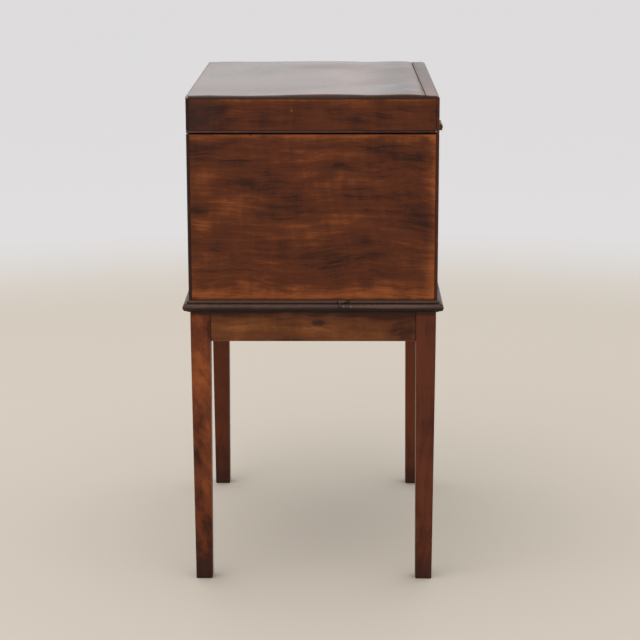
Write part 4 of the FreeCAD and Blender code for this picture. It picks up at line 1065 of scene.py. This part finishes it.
def finish_leg(corner, seed, slant, streak=0.4, clouds=()):
    node = "leg_" + corner
    low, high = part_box(node)
    middle = (low + high) / 2
    # The second darkening is painted shade under the moulding.
    darkened = [(-0.14, (middle.x, middle.y, 0.0), (FAR, FAR, 120 * MM)),
                (-0.45, (middle.x, middle.y, FRAME_UNDERSIDE), (FAR, FAR, 5 * MM))]
    foot = (FOOT_DIRT, 0.55, (middle.x, middle.y, 0.0), (FAR, FAR, 32 * MM))
    material = wood(node, "z", seed, LEG_TONES[corner], (low, high), slant=slant, cloud=0.5, streak=streak,
                    patches=darkened + on_end(middle.x, clouds), stains=(foot,), wear=0.3, fineness=0.55,
                    drift=20 * MM)
    return make_leg(node, material)


legs = [
    finish_leg("front_right", 71.0, slant=-0.42, streak=0.8, clouds=LEG_CLOUDS),
    finish_leg("back_right", 74.0, slant=0.05),
    finish_leg("front_left", 77.0, slant=0.08),
    finish_leg("back_left", 80.0, slant=0.04),
]
print("legs:", [leg.name for leg in legs])

# %% [markdown]
# ## The rails
# The rails are golden brown, lighter than the box, with the grain running along them and one dark knot in
# the right-hand rail. Wax has darkened them where they meet the legs and the frame. Painted shade darkens
# their upper part under the frame, and more of it darkens the right-hand rail towards the back.

# %% Finish the rails
GOLDEN = ((70, 37, 23), (110, 61, 33), (158, 96, 48))
# The first two, dark patches towards the back are painted shade under the frame, and the rest are the rail's
# own tone.
RAIL_CLOUDS_AND_SHADE = (
    (138, 397, 25, 13, -0.19), (112, 422, 56, 10, -0.17), (-100, 401, 38, 13, 0.08), (5, 403, 44, 13, 0.13),
    (-43, 416, 26, 6, -0.05), (58, 415, 36, 8, 0.05),
)
LEG_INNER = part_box("leg_front_right")
RAIL_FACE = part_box("rail_right")[1].x


def finish_rail(side, seed, patches=(), stains=()):
    """A rail. Its tenons are hidden in the legs, so the joints lie where it comes out of them."""
    node = "rail_" + side
    low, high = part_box(node)
    if RUNS[side] == "x":
        between, along = LEG_INNER[0].x, Vector((FAR, 0, 0))
        seen = Vector((-between, low.y, low.z - FAR)), Vector((between, high.y, high.z))
    else:
        between, along = -LEG_INNER[1].y, Vector((0, FAR, 0))
        seen = Vector((low.x, -between, low.z - FAR)), Vector((high.x, between, high.z))
    # A band of painted shade darkens the upper part of the rail, under the frame.
    shade_under_frame = (low - along - Vector((0, 0, FAR)), high + along)
    material = wood(node, RUNS[side], seed, GOLDEN, (low, high), cloud=0.6, patches=patches, stains=stains,
                    bands=((-0.20, *shade_under_frame, 19 * MM),), joints=((0.9, *seen, 3.0 * MM),))
    return eased(node, material, 0.5 * MM)


knot = (stain(52, 34, 28), 0.85, (RAIL_FACE, 8.5 * MM, 413.7 * MM), (10 * MM, 11 * MM, 5 * MM))
rails = [
    finish_rail("right", 84.0, on_end(RAIL_FACE, RAIL_CLOUDS_AND_SHADE), (knot,)),
    finish_rail("front", 87.0),
    finish_rail("back", 90.0),
    finish_rail("left", 93.0),
]
print("rails:", [rail.name for rail in rails])

# %% [markdown]
# ## The wood that nobody sees
# Corner blocks and the bottom board are plain secondary wood, planed and never varnished. They keep the
# recipe but take a pale, dry tone and a dull surface. The bottle partitions are thin mahogany, oiled
# rather than varnished, with their upper arrises rounded by bottles going in and out.

# %% Finish the blocks, the bottom and the partitions
PLAIN_WOOD = ((118, 84, 56), (150, 112, 76), (176, 142, 104))
OILED = ((84, 46, 28), (120, 70, 42), (150, 94, 58))
PARTITIONS = {"long_divider_front": "x", "long_divider_back": "x", "cross_divider_left": "y",
              "cross_divider_middle": "y", "cross_divider_right": "y"}


def raw_board(node, seed, width):
    raw = wood(node, "x", seed, PLAIN_WOOD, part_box(node), dullness=0.70, wear=0.1)
    return eased(node, raw, width)


hidden = [raw_board("corner_block_" + corner, 100.0 + number, 0.6 * MM)
          for number, corner in enumerate(("front_left", "front_right", "back_right", "back_left"))]
hidden.append(raw_board("box_bottom", 105.0, 0.5 * MM))
for number, (node, axis) in enumerate(PARTITIONS.items()):
    oiled = wood(node, axis, 110.0 + number, OILED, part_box(node), dullness=0.50, wear=0.6)
    hidden.append(eased(node, oiled, 1.3 * MM, axes="xy"))
print("inner pieces:", len(hidden))

# %% [markdown]
# ## The baize
# The bottom is lined with green baize, a woollen cloth with a raised nap, so that bottles stand quietly.
# It is glued down, so a thin slab with soft edges is right, and a cloth simulation would add nothing. Its
# surface rises and falls a little where the glue took unevenly and where bottles have pressed the nap.

# %% Make the baize
FELT_DARK = stain(26, 58, 42)
FELT_LIGHT = stain(50, 92, 66)
PRESSED = 0.18 * MM


def baize_finish():
    material, tree, shader, point = new_material("baize")
    nap = speckle(tree, point, 900.0, 3.0, 0.7)
    both = maths(tree, "ADD", nap, speckle(tree, point, 22.0, 4.0, 0.6))
    feed(shader["Base Color"], mix(tree, spread(tree, both, 0.7, 1.3), FELT_DARK, FELT_LIGHT))
    emboss(tree, shader, nap, 0.8, 0.6 * MM)
    shader["Roughness"].default_value = 0.95
    shader["Sheen Weight"].default_value = 0.4
    shader["Sheen Roughness"].default_value = 0.6
    return material


def baize_dip(x, y):
    return PRESSED * (1 + noise.noise(Vector((x * 30.0, y * 30.0, 8.0))))


lining_low, lining_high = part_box("floor_lining")
lining_size = lining_high - lining_low
soft_side = nose(0.7 * MM, 0.7 * MM, lining_size.z)
baize = nosed_board("baize", (lining_low, lining_high), (soft_side,) * 4, baize_dip)
stand_in(baize, "floor_lining", baize_finish())
print("baize faces:", len(baize.data.polygons))

# %% [markdown]
# ## Brass and steel
# The hinges, the lock and the keyhole's rim are brass that nobody has polished for years: a brown film
# lies over it, thicker in some places than in others. Old brass is a metal under a film of tarnish, so the
# mask drives both the colour and the roughness, and the metal itself stays metal. The screws under the box
# are dull steel.

# %% Finish the metal
SCRATCH_SHAPE = (1.0, 6.0, 6.0)


def metal(name, bright, dull, patches, bare_dullness, film_dullness):
    material, tree, shader, point = new_material(name)
    film = use_group(tree, BLOOM, {"Vector": point, "Patches": patches, "Cover": 0.6})["Mask"]
    feed(shader["Base Color"], mix(tree, film, bright, dull))
    feed(shader["Roughness"], spread(tree, film, 0.0, 1.0, bare_dullness, film_dullness))
    scratches = speckle(tree, vectors(tree, "MULTIPLY", point, SCRATCH_SHAPE), 500.0)
    emboss(tree, shader, scratches, 0.3, 0.1 * MM)
    shader["Metallic"].default_value = 1.0
    return material


BRASS = metal("old_brass", stain(148, 121, 84), stain(86, 68, 50), 120.0, 0.34, 0.58)
STEEL = metal("dull_steel", stain(172, 170, 168), stain(112, 102, 94), 220.0, 0.40, 0.65)
METAL_STARTS = ("hinge_", "lock_", "link_", "keyhole_", "box_fixing_")
metal_nodes = [node for node in frame["nodes"] if node.startswith(METAL_STARTS)]
for node in metal_nodes:
    solid = frame["nodes"][node]
    solid.data.materials.clear()
    solid.data.materials.append(STEEL if SLOTS[node] == "steel" else BRASS)
print("metal nodes:", len(metal_nodes))
